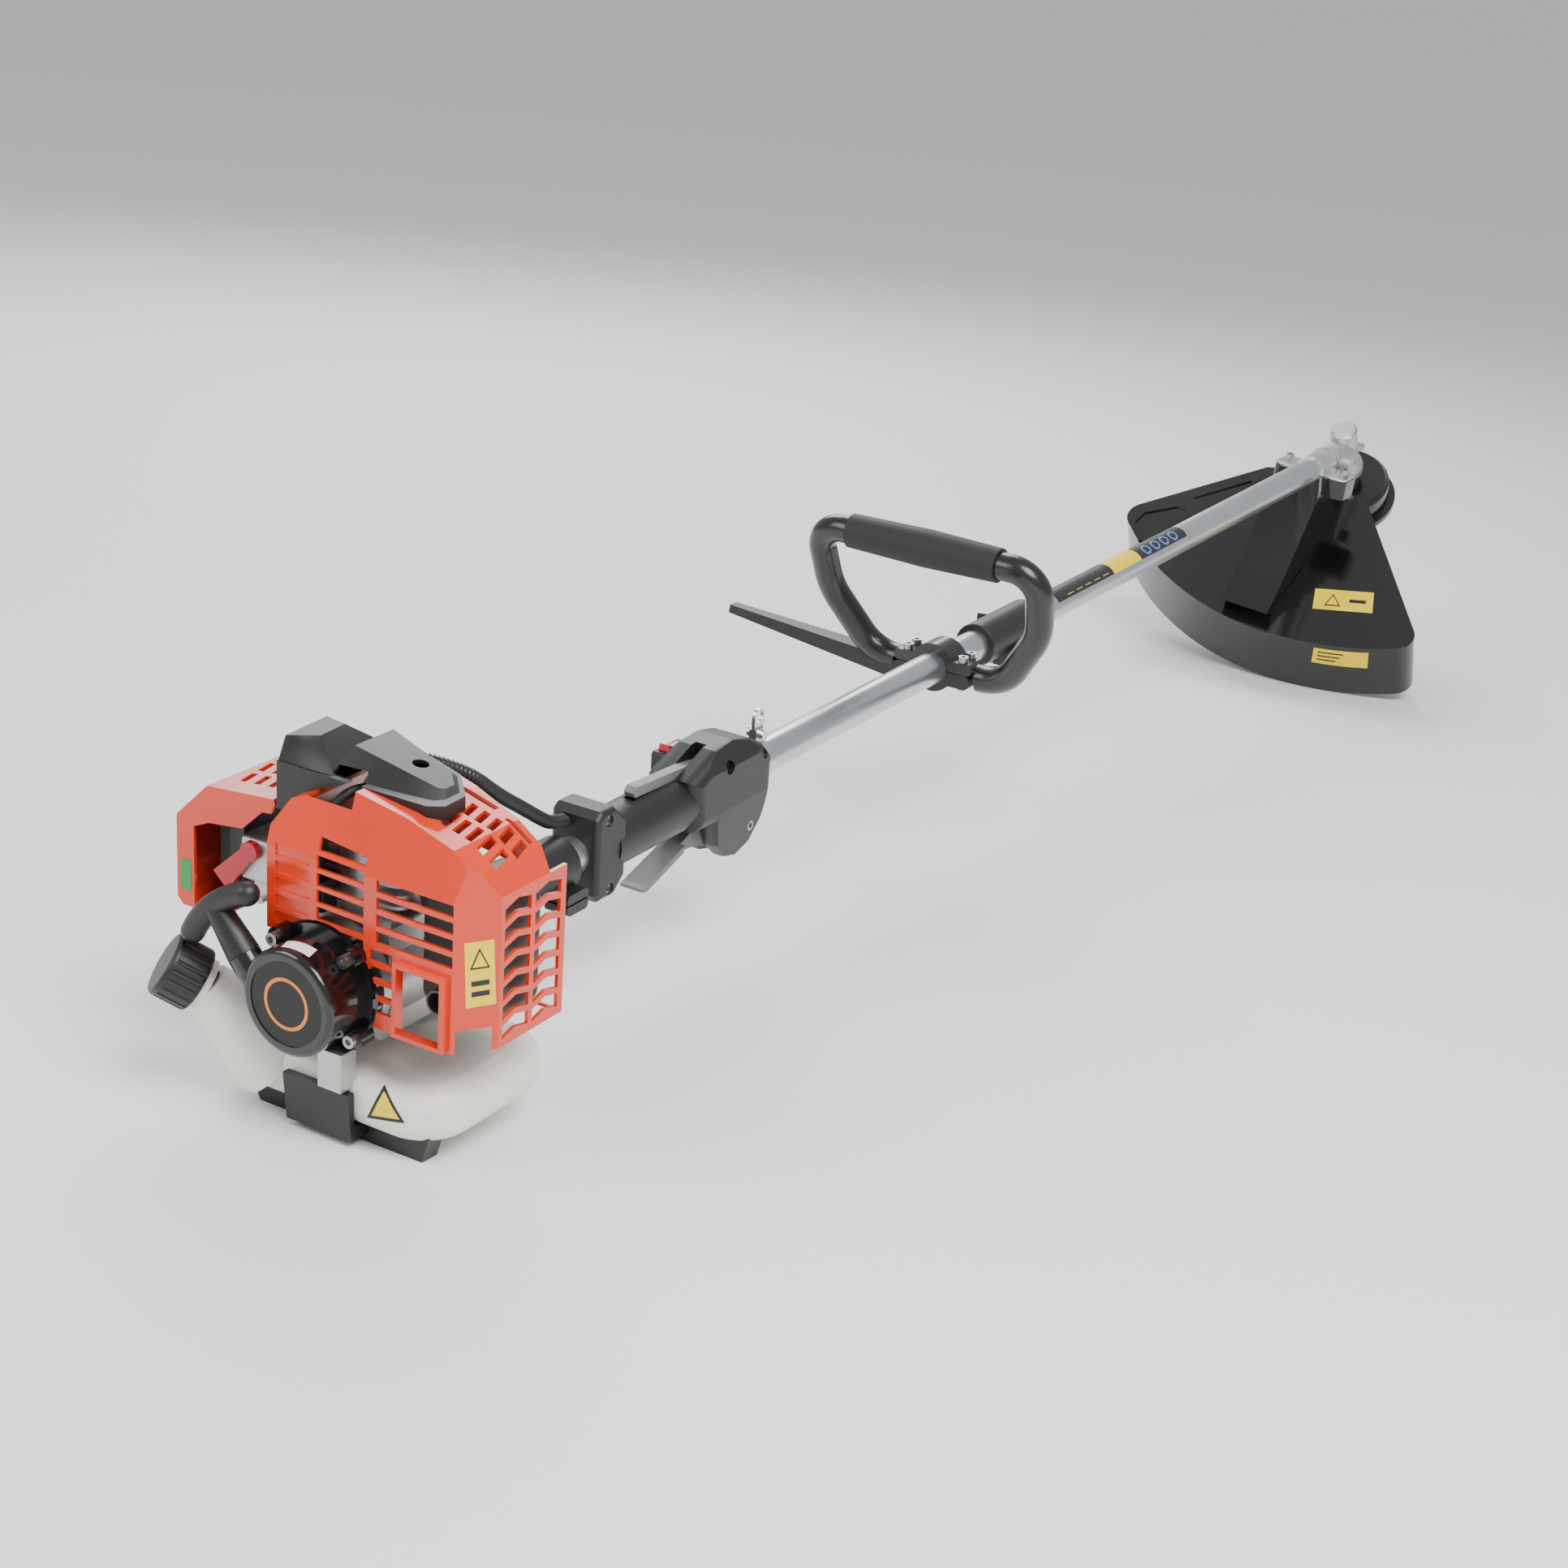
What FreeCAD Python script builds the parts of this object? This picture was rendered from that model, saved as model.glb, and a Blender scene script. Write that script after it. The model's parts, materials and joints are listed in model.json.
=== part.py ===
import FreeCAD, Part
import math
import os

# Petrol brush cutter with a straight two-piece shaft.
# Machine frame while modelling, in millimetres: the crankshaft and shaft share the X axis,
# +X runs from the starter towards the cutting head, +Y is the air filter side, +Z is up.
# At the end the machine is tipped until the guard and the tank stand share one floor.

V = FreeCAD.Vector
X_DIR = V(1, 0, 0)
Y_DIR = V(0, 1, 0)
Z_DIR = V(0, 0, 1)

# ---- driving dimensions: resting pose --------------------------------------------------
PITCH = 4.35                 # how far the shaft rises towards the head when it stands
HEAD_TILT = 30.0             # output axis leans this far forward of straight down
HEAD_ROLL = 5.0              # head and guard are clamped this far round the shaft

# ---- fits ------------------------------------------------------------------------------
RUNNING = 0.05               # radial clearance of a turning shaft
GAP = 0.4                    # clearance between pieces that move past each other
SEAM = 0.15                  # clearance between pieces that are only fitted together

# ---- driving dimensions: shaft line ----------------------------------------------------
TUBE_R = 14.0
TUBE_WALL = 1.5
TUBE_START = 262.0
DRIVE_R = 4.0
DRIVE_START = 180.0
BUSH_LENGTH = 18.0

# ---- driving dimensions: engine --------------------------------------------------------
CRANK_R = 7.5
BEARING_R = 17.5
BEARING_WIDTH = 10.0
WEB_R = 24.0
WEB_WIDTH = 9.0
CRANK_THROW = 15.0
CRANK_PIN_R = 7.0
CYLINDER_X = 92.0
BORE_R = 22.0
DECK_Z = 38.0
HEAD_Z = 104.0
CASE_X0 = 63.0
CASE_X1 = 122.0
CASE_R = 38.0
FLYWHEEL_R = 40.0
STARTER_R = 36.5
STARTER_LENGTH = 38.0
STARTER_WALL = 2.5
STARTER_SCREW_ANGLES = (44.0, 133.0, 215.0, 318.0)
ROPE_X = 14.0
ROPE_R = 1.75
REEL_GAP = 11.3              # from the starter's outer radius in to where the rope leaves the reel
ROPE_DIR = V(0, 0.65, 0.76)
SHROUD_X0 = 35.0
SHROUD_X1 = 128.0
SHROUD_WALL = 2.5
DRUM_R = 39.5
DRUM_WALL = 2.5
HOUSING_GAP = 6.5            # clutch drum to the housing's outer radius
CLAMP_WALL = 6.5
CLAMP_END = 290.0

# ---- driving dimensions: fuel tank and stand -------------------------------------------
TANK_X0 = 28.0
TANK_X1 = 164.0
TANK_Y0 = -98.0
TANK_Y1 = 92.0
TANK_TOP = -52.0
TANK_BOTTOM = -90.0
TANK_WALL = 3.0
CAP_CENTRE = V(13, 99, -12.5)
CAP_DIR = V(-0.55, 0.65, 0.52)
CAP_R = 22.0
CAP_HEIGHT = 27.0
NECK_R = 15.0

# ---- driving dimensions: rear handle ---------------------------------------------------
HANDLE_X0 = 308.0
HANDLE_LENGTH = 235.0
GRIP_START = 35.0            # from the handle's end to where the round grip begins
GRIP_LENGTH = 127.0
GRIP_WALL = 8.5
BULB_HALF = 24.0
TRIGGER_BACK = 51.0          # trigger pivot to the handle's front end
TRIGGER_DROP = 22.0          # trigger pivot below the tube
TRIGGER_HALF = 6.0
LOCK_BACK = 83.0
LOCK_HALF = 4.5

# ---- driving dimensions: hanger, loop handle, coupler ----------------------------------
HANGER_X = 553.0
HANGER_WIDTH = 14.0
HANGER_EYE_R = 5.0
LOOP_X = 852.0
LOOP_TUBE_R = 12.0
LOOP_LEAN = 20.0             # the loop leans this far back towards the engine
LOOP_HALF_BASE = 64.0
LOOP_HALF_SIDE = 102.0
LOOP_HALF_TOP = 107.0
LOOP_HEIGHT = 122.0
LOOP_GRIP_Y = (-70.0, 73.0)
ARM_REACH = 218.0
COUPLER_X0 = 918.0
COUPLER_LENGTH = 97.0
COUPLER_WALL = 5.5
KNOB_STEP = 57.0             # coupler's end to its wing knob

# ---- driving dimensions: cutting head --------------------------------------------------
HEAD_X = 1815.0              # where the drive axis and the output axis cross
PINION_TEETH = 14
GEAR_TEETH = 19
PINION_PITCH_R = 8.0
FACE_WIDTH = 6.0
SMALL_BEARING_R = 12.0
SMALL_BEARING_WIDTH = 7.0
OUTPUT_R = 5.0
COLLAR_R = 22.0
HEAD_TOP = 38.5              # distance of the trimmer head's top face along the output axis
HEAD_BODY_R = 52.0
HEAD_FLANGE_R = 59.0
GUARD_R = 255.0
GUARD_PLATE = 33.0
GUARD_SKIRT = 106.0
GUARD_WALL = 3.0
SADDLE_BACK = 103.0          # gear head centre back to the guard's saddle
SADDLE_LENGTH = 40.0

# ---- places that follow from the sizes above -------------------------------------------
SCREW_R = 2.6
SCREW_HEAD_R = 4.4
CLAMP_R = TUBE_R + CLAMP_WALL
HOUSING_R = DRUM_R + HOUSING_GAP
STARTER_SCREW_R = STARTER_R + SCREW_HEAD_R + GAP
STARTER_FLANGE_R = STARTER_R + 6.5
PULLEY_R = STARTER_R - REEL_GAP
GRIP_X0 = HANDLE_X0 + GRIP_START
GRIP_X1 = GRIP_X0 + GRIP_LENGTH
GRIP_R = TUBE_R + GRIP_WALL
HANDLE_X1 = HANDLE_X0 + HANDLE_LENGTH
TRIGGER_PIVOT = V(HANDLE_X1 - TRIGGER_BACK, 0, -TUBE_R - TRIGGER_DROP)
LOCK_PIVOT = V(HANDLE_X1 - LOCK_BACK, 0, TUBE_R + 6)
SWITCH_PIVOT = V(HANDLE_X1 - 62, BULB_HALF + 7, TUBE_R + 7)
HANGER_EYE_Z = TUBE_R + 22.5
LOOP_BOLT_Y = TUBE_R + 13
COUPLER_X1 = COUPLER_X0 + COUPLER_LENGTH
COUPLER_R = TUBE_R + COUPLER_WALL
KNOB_X = COUPLER_X0 + KNOB_STEP
TUBE_SPLIT = COUPLER_X0 + COUPLER_LENGTH / 2
TUBE_END = HEAD_X - 37
DRIVE_END = TUBE_END - 2
SADDLE_X0 = HEAD_X - SADDLE_BACK
SADDLE_X1 = SADDLE_X0 + SADDLE_LENGTH
SADDLE_BOLT_Y = TUBE_R + 19
BUSH_X = (GRIP_X0 + 7, LOOP_X - 212, COUPLER_X0 - 28, COUPLER_X1 + 135, HEAD_X - 395, HEAD_X - 135)

PARTS = {}


# ---- shape helpers ---------------------------------------------------------------------
def rod(radius, start, end):
    axis = end.sub(start)
    return Part.makeCylinder(radius, axis.Length, start, axis)


def rod_x(radius, x0, x1, y=0.0, z=0.0):
    return rod(radius, V(x0, y, z), V(x1, y, z))


def rod_y(radius, y0, y1, x, z):
    return rod(radius, V(x, y0, z), V(x, y1, z))


def rod_z(radius, z0, z1, x, y):
    return rod(radius, V(x, y, z0), V(x, y, z1))


def ring_x(outer, inner, x0, x1):
    return rod_x(outer, x0, x1).cut(rod_x(inner, x0 - 1, x1 + 1))


def block(x0, x1, y0, y1, z0, z1):
    return Part.makeBox(x1 - x0, y1 - y0, z1 - z0, V(x0, y0, z0))


def prism(points, travel):
    wire = Part.makePolygon(points + [points[0]])
    return Part.Face(wire).extrude(travel)


def prism_x(points, x0, x1):
    return prism([V(x0, y, z) for y, z in points], V(x1 - x0, 0, 0))


def prism_y(points, y0, y1):
    return prism([V(x, y0, z) for x, z in points], V(0, y1 - y0, 0))


def prism_z(points, z0, z1):
    return prism([V(x, y, z0) for x, y in points], V(0, 0, z1 - z0))


def lathe(points, base=V(0, 0, 0), axis=X_DIR):
    """Solid of revolution about X from (x, radius) points."""
    wire = Part.makePolygon([V(x, 0, r) for x, r in points + [points[0]]])
    return Part.Face(wire).revolve(base, axis, 360)


def cone_between(start, end, r_start, r_end):
    axis = end.sub(start)
    return Part.makeCone(r_start, r_end, axis.Length, start, axis)


def frustum(base, top):
    lower = Part.makePolygon(base + [base[0]])
    upper = Part.makePolygon(top + [top[0]])
    return Part.makeLoft([lower, upper], True, True)


def fused(*shapes):
    return shapes[0].fuse(list(shapes[1:])).removeSplitter()


def rounded(shape, radius, keep):
    edges = [edge for edge in shape.Edges if keep(edge)]
    return shape.makeFillet(radius, edges)


def runs_along(axis):
    def keep(edge):
        if not isinstance(edge.Curve, Part.Line):
            return False
        direction = edge.tangentAt(edge.FirstParameter)
        return abs(direction.dot(axis)) > 0.999
    return keep


def not_along(axis):
    along = runs_along(axis)
    return lambda edge: not along(edge)


def unit(vector):
    copy = V(vector)
    copy.normalize()
    return copy


def step_from(point, direction, distance):
    return point.add(unit(direction).multiply(distance))


def bend_path(points, radii):
    """Straight runs joined by tangent arcs of the given radii at the inner points."""
    edges = []
    here = points[0]
    for index in range(1, len(points) - 1):
        corner = points[index]
        back = unit(points[index - 1].sub(corner))
        ahead = unit(points[index + 1].sub(corner))
        turn = math.pi - back.getAngle(ahead)
        reach = radii[index - 1] * math.tan(turn / 2)
        arc_in = corner.add(V(back).multiply(reach))
        arc_out = corner.add(V(ahead).multiply(reach))
        middle = unit(back.add(ahead))
        to_arc = radii[index - 1] / math.cos(turn / 2) - radii[index - 1]
        arc_mid = corner.add(V(middle).multiply(to_arc))
        edges.append(Part.LineSegment(here, arc_in).toShape())
        edges.append(Part.Arc(arc_in, arc_mid, arc_out).toShape())
        here = arc_out
    edges.append(Part.LineSegment(here, points[-1]).toShape())
    return Part.Wire(edges)


def bent_tube(points, radii, radius):
    path = bend_path(points, radii)
    circle = Part.Circle(points[0], points[1].sub(points[0]), radius).toShape()
    return path.makePipeShell([Part.Wire(circle)], True, False), path


def soft_radii(points):
    """The largest radii that the runs beside each bend allow."""
    radii = []
    for index in range(1, len(points) - 1):
        back = points[index - 1].sub(points[index])
        ahead = points[index + 1].sub(points[index])
        turn = math.pi - back.getAngle(ahead)
        shorter = min(back.Length, ahead.Length)
        radii.append(0.45 * shorter / math.tan(turn / 2))
    return radii


# ---- crankcase, cylinder and what runs in them -----------------------------------------
REAR_BEARING_X = CASE_X0 + 3.0
REAR_WEB_X = REAR_BEARING_X + BEARING_WIDTH + 2.0
ROD_X0 = REAR_WEB_X + WEB_WIDTH
ROD_X1 = 2 * CYLINDER_X - ROD_X0
FRONT_WEB_X1 = ROD_X1 + WEB_WIDTH
FRONT_BEARING_X = FRONT_WEB_X1 + 2.0
CRANK_X0 = 42.0
CRANK_X1 = 142.0
DRUM_BEARING_X = 162.0


def make_crankcase():
    body = rod_x(CASE_R, CASE_X0, CASE_X1)
    deck = block(CYLINDER_X - 30, CYLINDER_X + 30, -32, 32, 0, DECK_Z)
    foot = block(CASE_X0, CASE_X1, -26, 26, -CASE_R - 4, -20)
    body = fused(body, deck, foot)
    cavity = rod_x(WEB_R + 2, REAR_WEB_X - 1, FRONT_WEB_X1 + 1)
    well = rod_z(BORE_R + SEAM, 0, DECK_Z + 1, CYLINDER_X, 0)
    seats = [
        rod_x(BEARING_R, REAR_BEARING_X, REAR_BEARING_X + BEARING_WIDTH + 2),
        rod_x(BEARING_R, FRONT_BEARING_X - 2, FRONT_BEARING_X + BEARING_WIDTH),
    ]
    shaft_hole = rod_x(CRANK_R + 2, CASE_X0 - 1, CASE_X1 + 1)
    PARTS["crankcase"] = body.cut([cavity, well, shaft_hole] + seats)


FIN_PITCH = 7.5
FIN_THICKNESS = 2.2
FIN_HALF = CASE_X1 - CYLINDER_X - 3
FIN_X = (CYLINDER_X - FIN_HALF, CYLINDER_X + FIN_HALF)
FIN_Y = (-40.0, 37.0)
PORT_Z = 62.0
PORT_R = 10.0


def make_cylinder():
    barrel = rod_z(BORE_R + 6, DECK_Z, HEAD_Z, CYLINDER_X, 0)
    shapes = [barrel]
    fin_count = int((HEAD_Z - DECK_Z - 6 - FIN_THICKNESS) / FIN_PITCH)
    for index in range(fin_count + 1):
        z0 = DECK_Z + 6 + index * FIN_PITCH
        fin = block(FIN_X[0], FIN_X[1], FIN_Y[0], FIN_Y[1], z0, z0 + FIN_THICKNESS)
        shapes.append(rounded(fin, 12, runs_along(Z_DIR)))
    exhaust = rod_y(PORT_R + 5, FIN_Y[0] - 4, 0, CYLINDER_X, PORT_Z)
    intake = rod_y(PORT_R + 5, 0, INSULATOR_Y0, CYLINDER_X, PORT_Z)
    flange = block(CYLINDER_X - 26, CYLINDER_X + 26, -30, 30, DECK_Z, DECK_Z + 5)
    body = fused(*(shapes + [exhaust, intake, flange]))
    bore = rod_z(BORE_R, DECK_Z - 1, HEAD_Z - 8, CYLINDER_X, 0)
    ports = rod_y(PORT_R, FIN_Y[0] - 5, INSULATOR_Y0 + 1, CYLINDER_X, PORT_Z)
    plug_hole = rod_z(PLUG_R, HEAD_Z - 9, HEAD_Z + 1, CYLINDER_X, 0)
    PARTS["cylinder"] = body.cut([bore, ports, plug_hole])


PISTON_TOP = HEAD_Z - 10.0
PISTON_HEIGHT = 30.0
WRIST_Z = PISTON_TOP - 18.0
WRIST_R = 5.0


def make_piston_and_rod():
    skirt_z = PISTON_TOP - PISTON_HEIGHT
    piston = rod_z(BORE_R - RUNNING, skirt_z, PISTON_TOP, CYLINDER_X, 0)
    hollow = rod_z(BORE_R - 3.5, skirt_z - 1, PISTON_TOP - 5, CYLINDER_X, 0)
    wrist_pin = rod_x(WRIST_R, CYLINDER_X - BORE_R + 1, CYLINDER_X + BORE_R - 1, 0, WRIST_Z)
    PARTS["piston"] = fused(piston.cut(hollow), wrist_pin)

    x0 = ROD_X0 + GAP
    x1 = ROD_X1 - GAP
    small_end = rod_x(WRIST_R + 3.5, x0, x1, 0, WRIST_Z)
    big_end = rod_x(CRANK_PIN_R + 4, x0, x1, 0, CRANK_THROW)
    shank = block(x0 + 2, x1 - 2, -4, 4, CRANK_THROW, WRIST_Z)
    rod_body = fused(small_end, big_end, shank)
    holes = [
        rod_x(WRIST_R + RUNNING, x0 - 1, x1 + 1, 0, WRIST_Z),
        rod_x(CRANK_PIN_R + RUNNING, x0 - 1, x1 + 1, 0, CRANK_THROW),
    ]
    crank_pin = rod_x(CRANK_PIN_R, x0, x1, 0, CRANK_THROW)
    PARTS["connecting_rod"] = Part.makeCompound([rod_body.cut(holes), crank_pin])


def make_rotor():
    rear = fused(rod_x(CRANK_R, CRANK_X0, REAR_WEB_X + 1), rod_x(WEB_R, REAR_WEB_X, ROD_X0))
    front = fused(rod_x(WEB_R, ROD_X1, FRONT_WEB_X1), rod_x(CRANK_R, FRONT_WEB_X1 - 1, CRANK_X1))
    PARTS["crankshaft"] = Part.makeCompound([rear, front])

    hub = rod_x(14, CRANK_X0, 60)
    disc = rod_x(FLYWHEEL_R, 48, 56)
    shapes = [hub, disc]
    fin_count = 14
    for index in range(fin_count):
        fin = block(42, 48.5, -1.2, 1.2, 17, FLYWHEEL_R - 2)
        fin.rotate(V(0, 0, 0), X_DIR, index * 360 / fin_count)
        shapes.append(fin)
    PARTS["flywheel"] = fused(*shapes).cut(rod_x(CRANK_R, CRANK_X0 - 1, 61))

    shoe_r = DRUM_R - DRUM_WALL - 0.7
    shoes = ring_x(shoe_r, CRANK_R, 127, 143)
    relief = ring_x(shoe_r - 9, 15, 126, 144).cut(block(126, 144, -5, 5, -40, 40))
    slot = block(126, 144, -40, -20, -1.5, 1.5)
    slot_far = block(126, 144, 20, 40, -1.5, 1.5)
    PARTS["clutch_shoes"] = shoes.cut([relief, slot, slot_far])


def make_bearings():
    def bearing(inner, outer, x0, width):
        return ring_x(outer, inner + RUNNING, x0, x0 + width)

    rings = [bearing(CRANK_R, BEARING_R, x0, BEARING_WIDTH)
             for x0 in (REAR_BEARING_X, FRONT_BEARING_X, DRUM_BEARING_X)]
    for x0 in (PINION_BEARING_X, PINION_BEARING_X + SMALL_BEARING_WIDTH):
        rings.append(bearing(OUTPUT_R, SMALL_BEARING_R, x0, SMALL_BEARING_WIDTH))
    for w0 in (UPPER_BEARING_W, LOWER_BEARING_W):
        ring = bearing(OUTPUT_R, SMALL_BEARING_R, w0, SMALL_BEARING_WIDTH)
        rings.append(to_output_axis(ring))
    PARTS["ball_bearings"] = Part.makeCompound(
        rings[:3] + [rolled(ring) for ring in rings[3:]])


# ---- muffler, spark plug and ignition --------------------------------------------------
MUFFLER_Y1 = FIN_Y[0] - 4.0 - SEAM
MUFFLER_BOX = (66.0, 118.0, -113.0, -52.0, -6.0, 74.0)
OUTLET_Y = -84.0
OUTLET_Z = 10.0
PLUG_R = 7.0


def make_muffler():
    x0, x1, y0, y1, z0, z1 = MUFFLER_BOX
    can = rounded(block(x0, x1, y0, y1, z0, z1), 9, lambda edge: True)
    collar = rod_y(PORT_R + 5, y1 - 1, MUFFLER_Y1, CYLINDER_X, PORT_Z)
    outlet = rod_x(8.5, 45, x0 + 4, OUTLET_Y, OUTLET_Z)
    rib = block(x0 - 1.5, x1 + 1.5, -84, -80, z0 + 12, z1 - 12)
    body = fused(can, collar, outlet, rib)
    wall = 2.0
    cavity = block(x0 + wall, x1 - wall, y0 + wall, y1 - wall, z0 + wall, z1 - wall)
    cavity = rounded(cavity, 7, lambda edge: True)
    inlet = rod_y(PORT_R, y1 - wall - 1, MUFFLER_Y1 + 1, CYLINDER_X, PORT_Z)
    exit_hole = rod_x(7, 44, x0 + wall + 3, OUTLET_Y, OUTLET_Z)
    PARTS["muffler"] = body.cut([cavity, inlet, exit_hole])


def make_ignition():
    thread = rod_z(PLUG_R, HEAD_Z - 7, HEAD_Z, CYLINDER_X, 0)
    hexagon = [V(CYLINDER_X + 10 * math.cos(k * math.pi / 3), 10 * math.sin(k * math.pi / 3), HEAD_Z)
               for k in range(6)]
    body = prism(hexagon, V(0, 0, 8))
    insulator = rod_z(5, HEAD_Z + 7, HEAD_Z + 24, CYLINDER_X, 0)
    terminal = rod_z(3, HEAD_Z + 23, HEAD_Z + 30, CYLINDER_X, 0)
    PARTS["spark_plug"] = fused(thread, body, insulator, terminal)

    boot_z0 = HEAD_Z + 10
    boot_z1 = HEAD_Z + 36
    boot = rod_z(8.5, boot_z0, boot_z1, CYLINDER_X, 0)
    coil_x = 54.0
    coil_y = 20.0
    coil_top = 66.0
    lead_points = [V(CYLINDER_X - 4, 0, boot_z0 + 8), V(64, 7, boot_z0 + 8),
                   V(coil_x, 14, boot_z0 - 9), V(coil_x, coil_y, coil_top)]
    lead, _ = bent_tube(lead_points, soft_radii(lead_points), 3.2)
    socket = [rod_z(5 + SEAM, boot_z0 - 1, HEAD_Z + 24 + SEAM, CYLINDER_X, 0),
              rod_z(3 + SEAM, HEAD_Z + 23, HEAD_Z + 30 + SEAM, CYLINDER_X, 0)]
    PARTS["plug_boot"] = fused(boot, lead).cut(socket)
    core = block(44, 60, 8, 34, FLYWHEEL_R + 5, coil_top)
    PARTS["ignition_coil"] = rounded(core, 2.5, runs_along(Z_DIR)).cut(PARTS["plug_boot"])


# ---- recoil starter --------------------------------------------------------------------
ROPE_UNIT = unit(ROPE_DIR)
ROPE_START = V(ROPE_X, PULLEY_R * ROPE_UNIT.z, -PULLEY_R * ROPE_UNIT.y)
GUIDE_END = 42.0
BAR_AT = 79.0
BAR_HALF = 30.0
BAR_R = 8.2


def along_rope(distance):
    return step_from(ROPE_START, ROPE_DIR, distance)


def starter_screw_spots():
    return [(STARTER_SCREW_R * math.cos(math.radians(a)), STARTER_SCREW_R * math.sin(math.radians(a)))
            for a in STARTER_SCREW_ANGLES]


def make_starter():
    pot = rod_x(STARTER_R, 0, STARTER_LENGTH)
    pot = rounded(pot, 4, lambda edge: edge.BoundBox.XMax < 1)
    flange = rod_x(STARTER_FLANGE_R, STARTER_LENGTH - 5, STARTER_LENGTH)
    guide = rod(11, along_rope(18), along_rope(GUIDE_END))
    shapes = [pot, flange, guide]
    for y, z in starter_screw_spots():
        shapes.append(rod_x(7, STARTER_LENGTH - 13, STARTER_LENGTH, y, z))
    body = fused(*shapes)
    cavity = rod_x(STARTER_R - STARTER_WALL, STARTER_WALL, STARTER_LENGTH + 1)
    badge_seat = rod_x(STARTER_R - 7.5, -1, 0.8)
    rope_hole = rod(3, along_rope(10), along_rope(GUIDE_END + 2))
    holes = [rod_x(SCREW_R, STARTER_LENGTH - 14, STARTER_LENGTH + 1, y, z)
             for y, z in starter_screw_spots()]
    body = body.cut([cavity, badge_seat, rope_hole] + holes)
    post = rod_x(5, STARTER_WALL - 0.5, 25)
    PARTS["starter_housing"] = fused(body, post)
    PARTS["recoil_spring"] = ring_x(PULLEY_R + 1.8, 12, STARTER_WALL + 0.5, 8)

    reel = lathe([(9, 0), (9, PULLEY_R + 1.8), (11, PULLEY_R + 1.8), (11.5, PULLEY_R - 2.7),
                  (16.5, PULLEY_R - 2.7), (17, PULLEY_R + 1.8), (19, PULLEY_R + 1.8), (19, 12),
                  (24, 12), (24, 0)])
    PARTS["starter_pulley"] = reel.cut(rod_x(5 + RUNNING, 8, 25))

    neck = cone_between(along_rope(GUIDE_END + GAP), along_rope(BAR_AT), 11, 8)
    across = V(0, -ROPE_UNIT.z, ROPE_UNIT.y)
    centre = along_rope(BAR_AT)
    end_a = centre.add(V(across).multiply(BAR_HALF)).sub(V(ROPE_UNIT).multiply(6))
    end_b = centre.sub(V(across).multiply(BAR_HALF)).sub(V(ROPE_UNIT).multiply(6))
    arc = Part.Arc(end_a, centre, end_b).toShape()
    tangent = arc.tangentAt(arc.FirstParameter)
    circle = Part.Wire(Part.Circle(end_a, tangent, BAR_R).toShape())
    bar = Part.Wire([arc]).makePipeShell([circle], True, False)
    ends = [Part.makeSphere(BAR_R, end_a), Part.makeSphere(BAR_R, end_b)]
    handle = fused(bar, neck, *ends)
    rope = rod(ROPE_R, ROPE_START, along_rope(BAR_AT - 4))
    PARTS["starter_rope"] = rope
    PARTS["starter_handle"] = handle.cut(rope)


# ---- orange engine shroud and its black top cover --------------------------------------
SHROUD_PROFILE = [(46, 28), (46, 98), (34, 117), (-4, 134), (-56, 127), (-95, 117),
                  (-113, 105), (-121, 88), (-121, -16), (-30, -16), (-30, 28)]
ARCH_R = STARTER_FLANGE_R + 1.5


def shroud_form(inset):
    face = Part.Face(Part.makePolygon([V(SHROUD_X0, y, z) for y, z in SHROUD_PROFILE + SHROUD_PROFILE[:1]]))
    if inset:
        face = face.makeOffset2D(-inset)
    form = face.extrude(V(SHROUD_X1 - SHROUD_X0, 0, 0))
    x0 = SHROUD_X0 - 5
    slope = (121 - 105) / (60 - 38)
    y_at = -105 + slope * (38 - x0) + inset * 1.24
    corner = prism_z([(x0, y_at), (x0 + 60, y_at - 60 * slope), (x0, y_at - 60 * slope)], -40, 160)
    lean = prism_y([(x0, 60), (SHROUD_X0 + inset, 60), (SHROUD_X0 + inset, 86),
                    (SHROUD_X0 + 17 + inset, 141), (x0, 141)], -140, 60)
    front = prism_z([(SHROUD_X1 - inset, -4), (SHROUD_X1 + 5, -4), (SHROUD_X1 + 5, -140), (SHROUD_X1 - 18 - inset, -140),
                     (SHROUD_X1 - 18 - inset, -95)], 88, 160)
    flat = prism_y([(x0, -40), (SHROUD_X0 + inset, -40), (SHROUD_X0 + inset, 90), (x0, 90)], -140, 60)
    return form.cut([corner, lean, front] + ([flat] if inset else []))


def rear_vents():
    slots = []
    rows = 6
    pitch = 11.6
    for row in range(rows):
        z0 = 33.5 + row * pitch
        z1 = z0 + pitch - 3.6
        slots.append(prism_x([(5, z0), (-33, z0), (-33, min(z1, 97)), (5, min(z1 + 1, 104))], 30, 60))
        slots.append(block(30, SHROUD_X0 + 1.2, 11, 39, z0, min(z1, 97)))
    for row in range(4):
        z0 = 43.0 + row * pitch
        slots.append(prism_x([(-43, z0), (-103, z0), (-103, z0 + 8), (-43, z0 + 8)], 30, 60))
    for row in range(4):
        z0 = -5.0 + row * pitch
        slots.append(block(30, 60, -56, -38, z0, z0 + 8))
    slots.append(block(30, 60, -97, -63, -12, 33))
    return slots


def side_grille():
    slots = []
    rows = 7
    for row in range(rows):
        z0 = -11.0 + row * 13.4
        for x0, x1 in ((64.0, 91.0), (95.5, 122.5)):
            xm = (x0 + x1) / 2
            points = [(x0, z0), (xm, z0 + 4), (x1, z0 + 1), (x1, z0 + 10), (xm, z0 + 13), (x0, z0 + 9)]
            slots.append(prism_y(points, -130, -112))
    return slots


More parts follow.
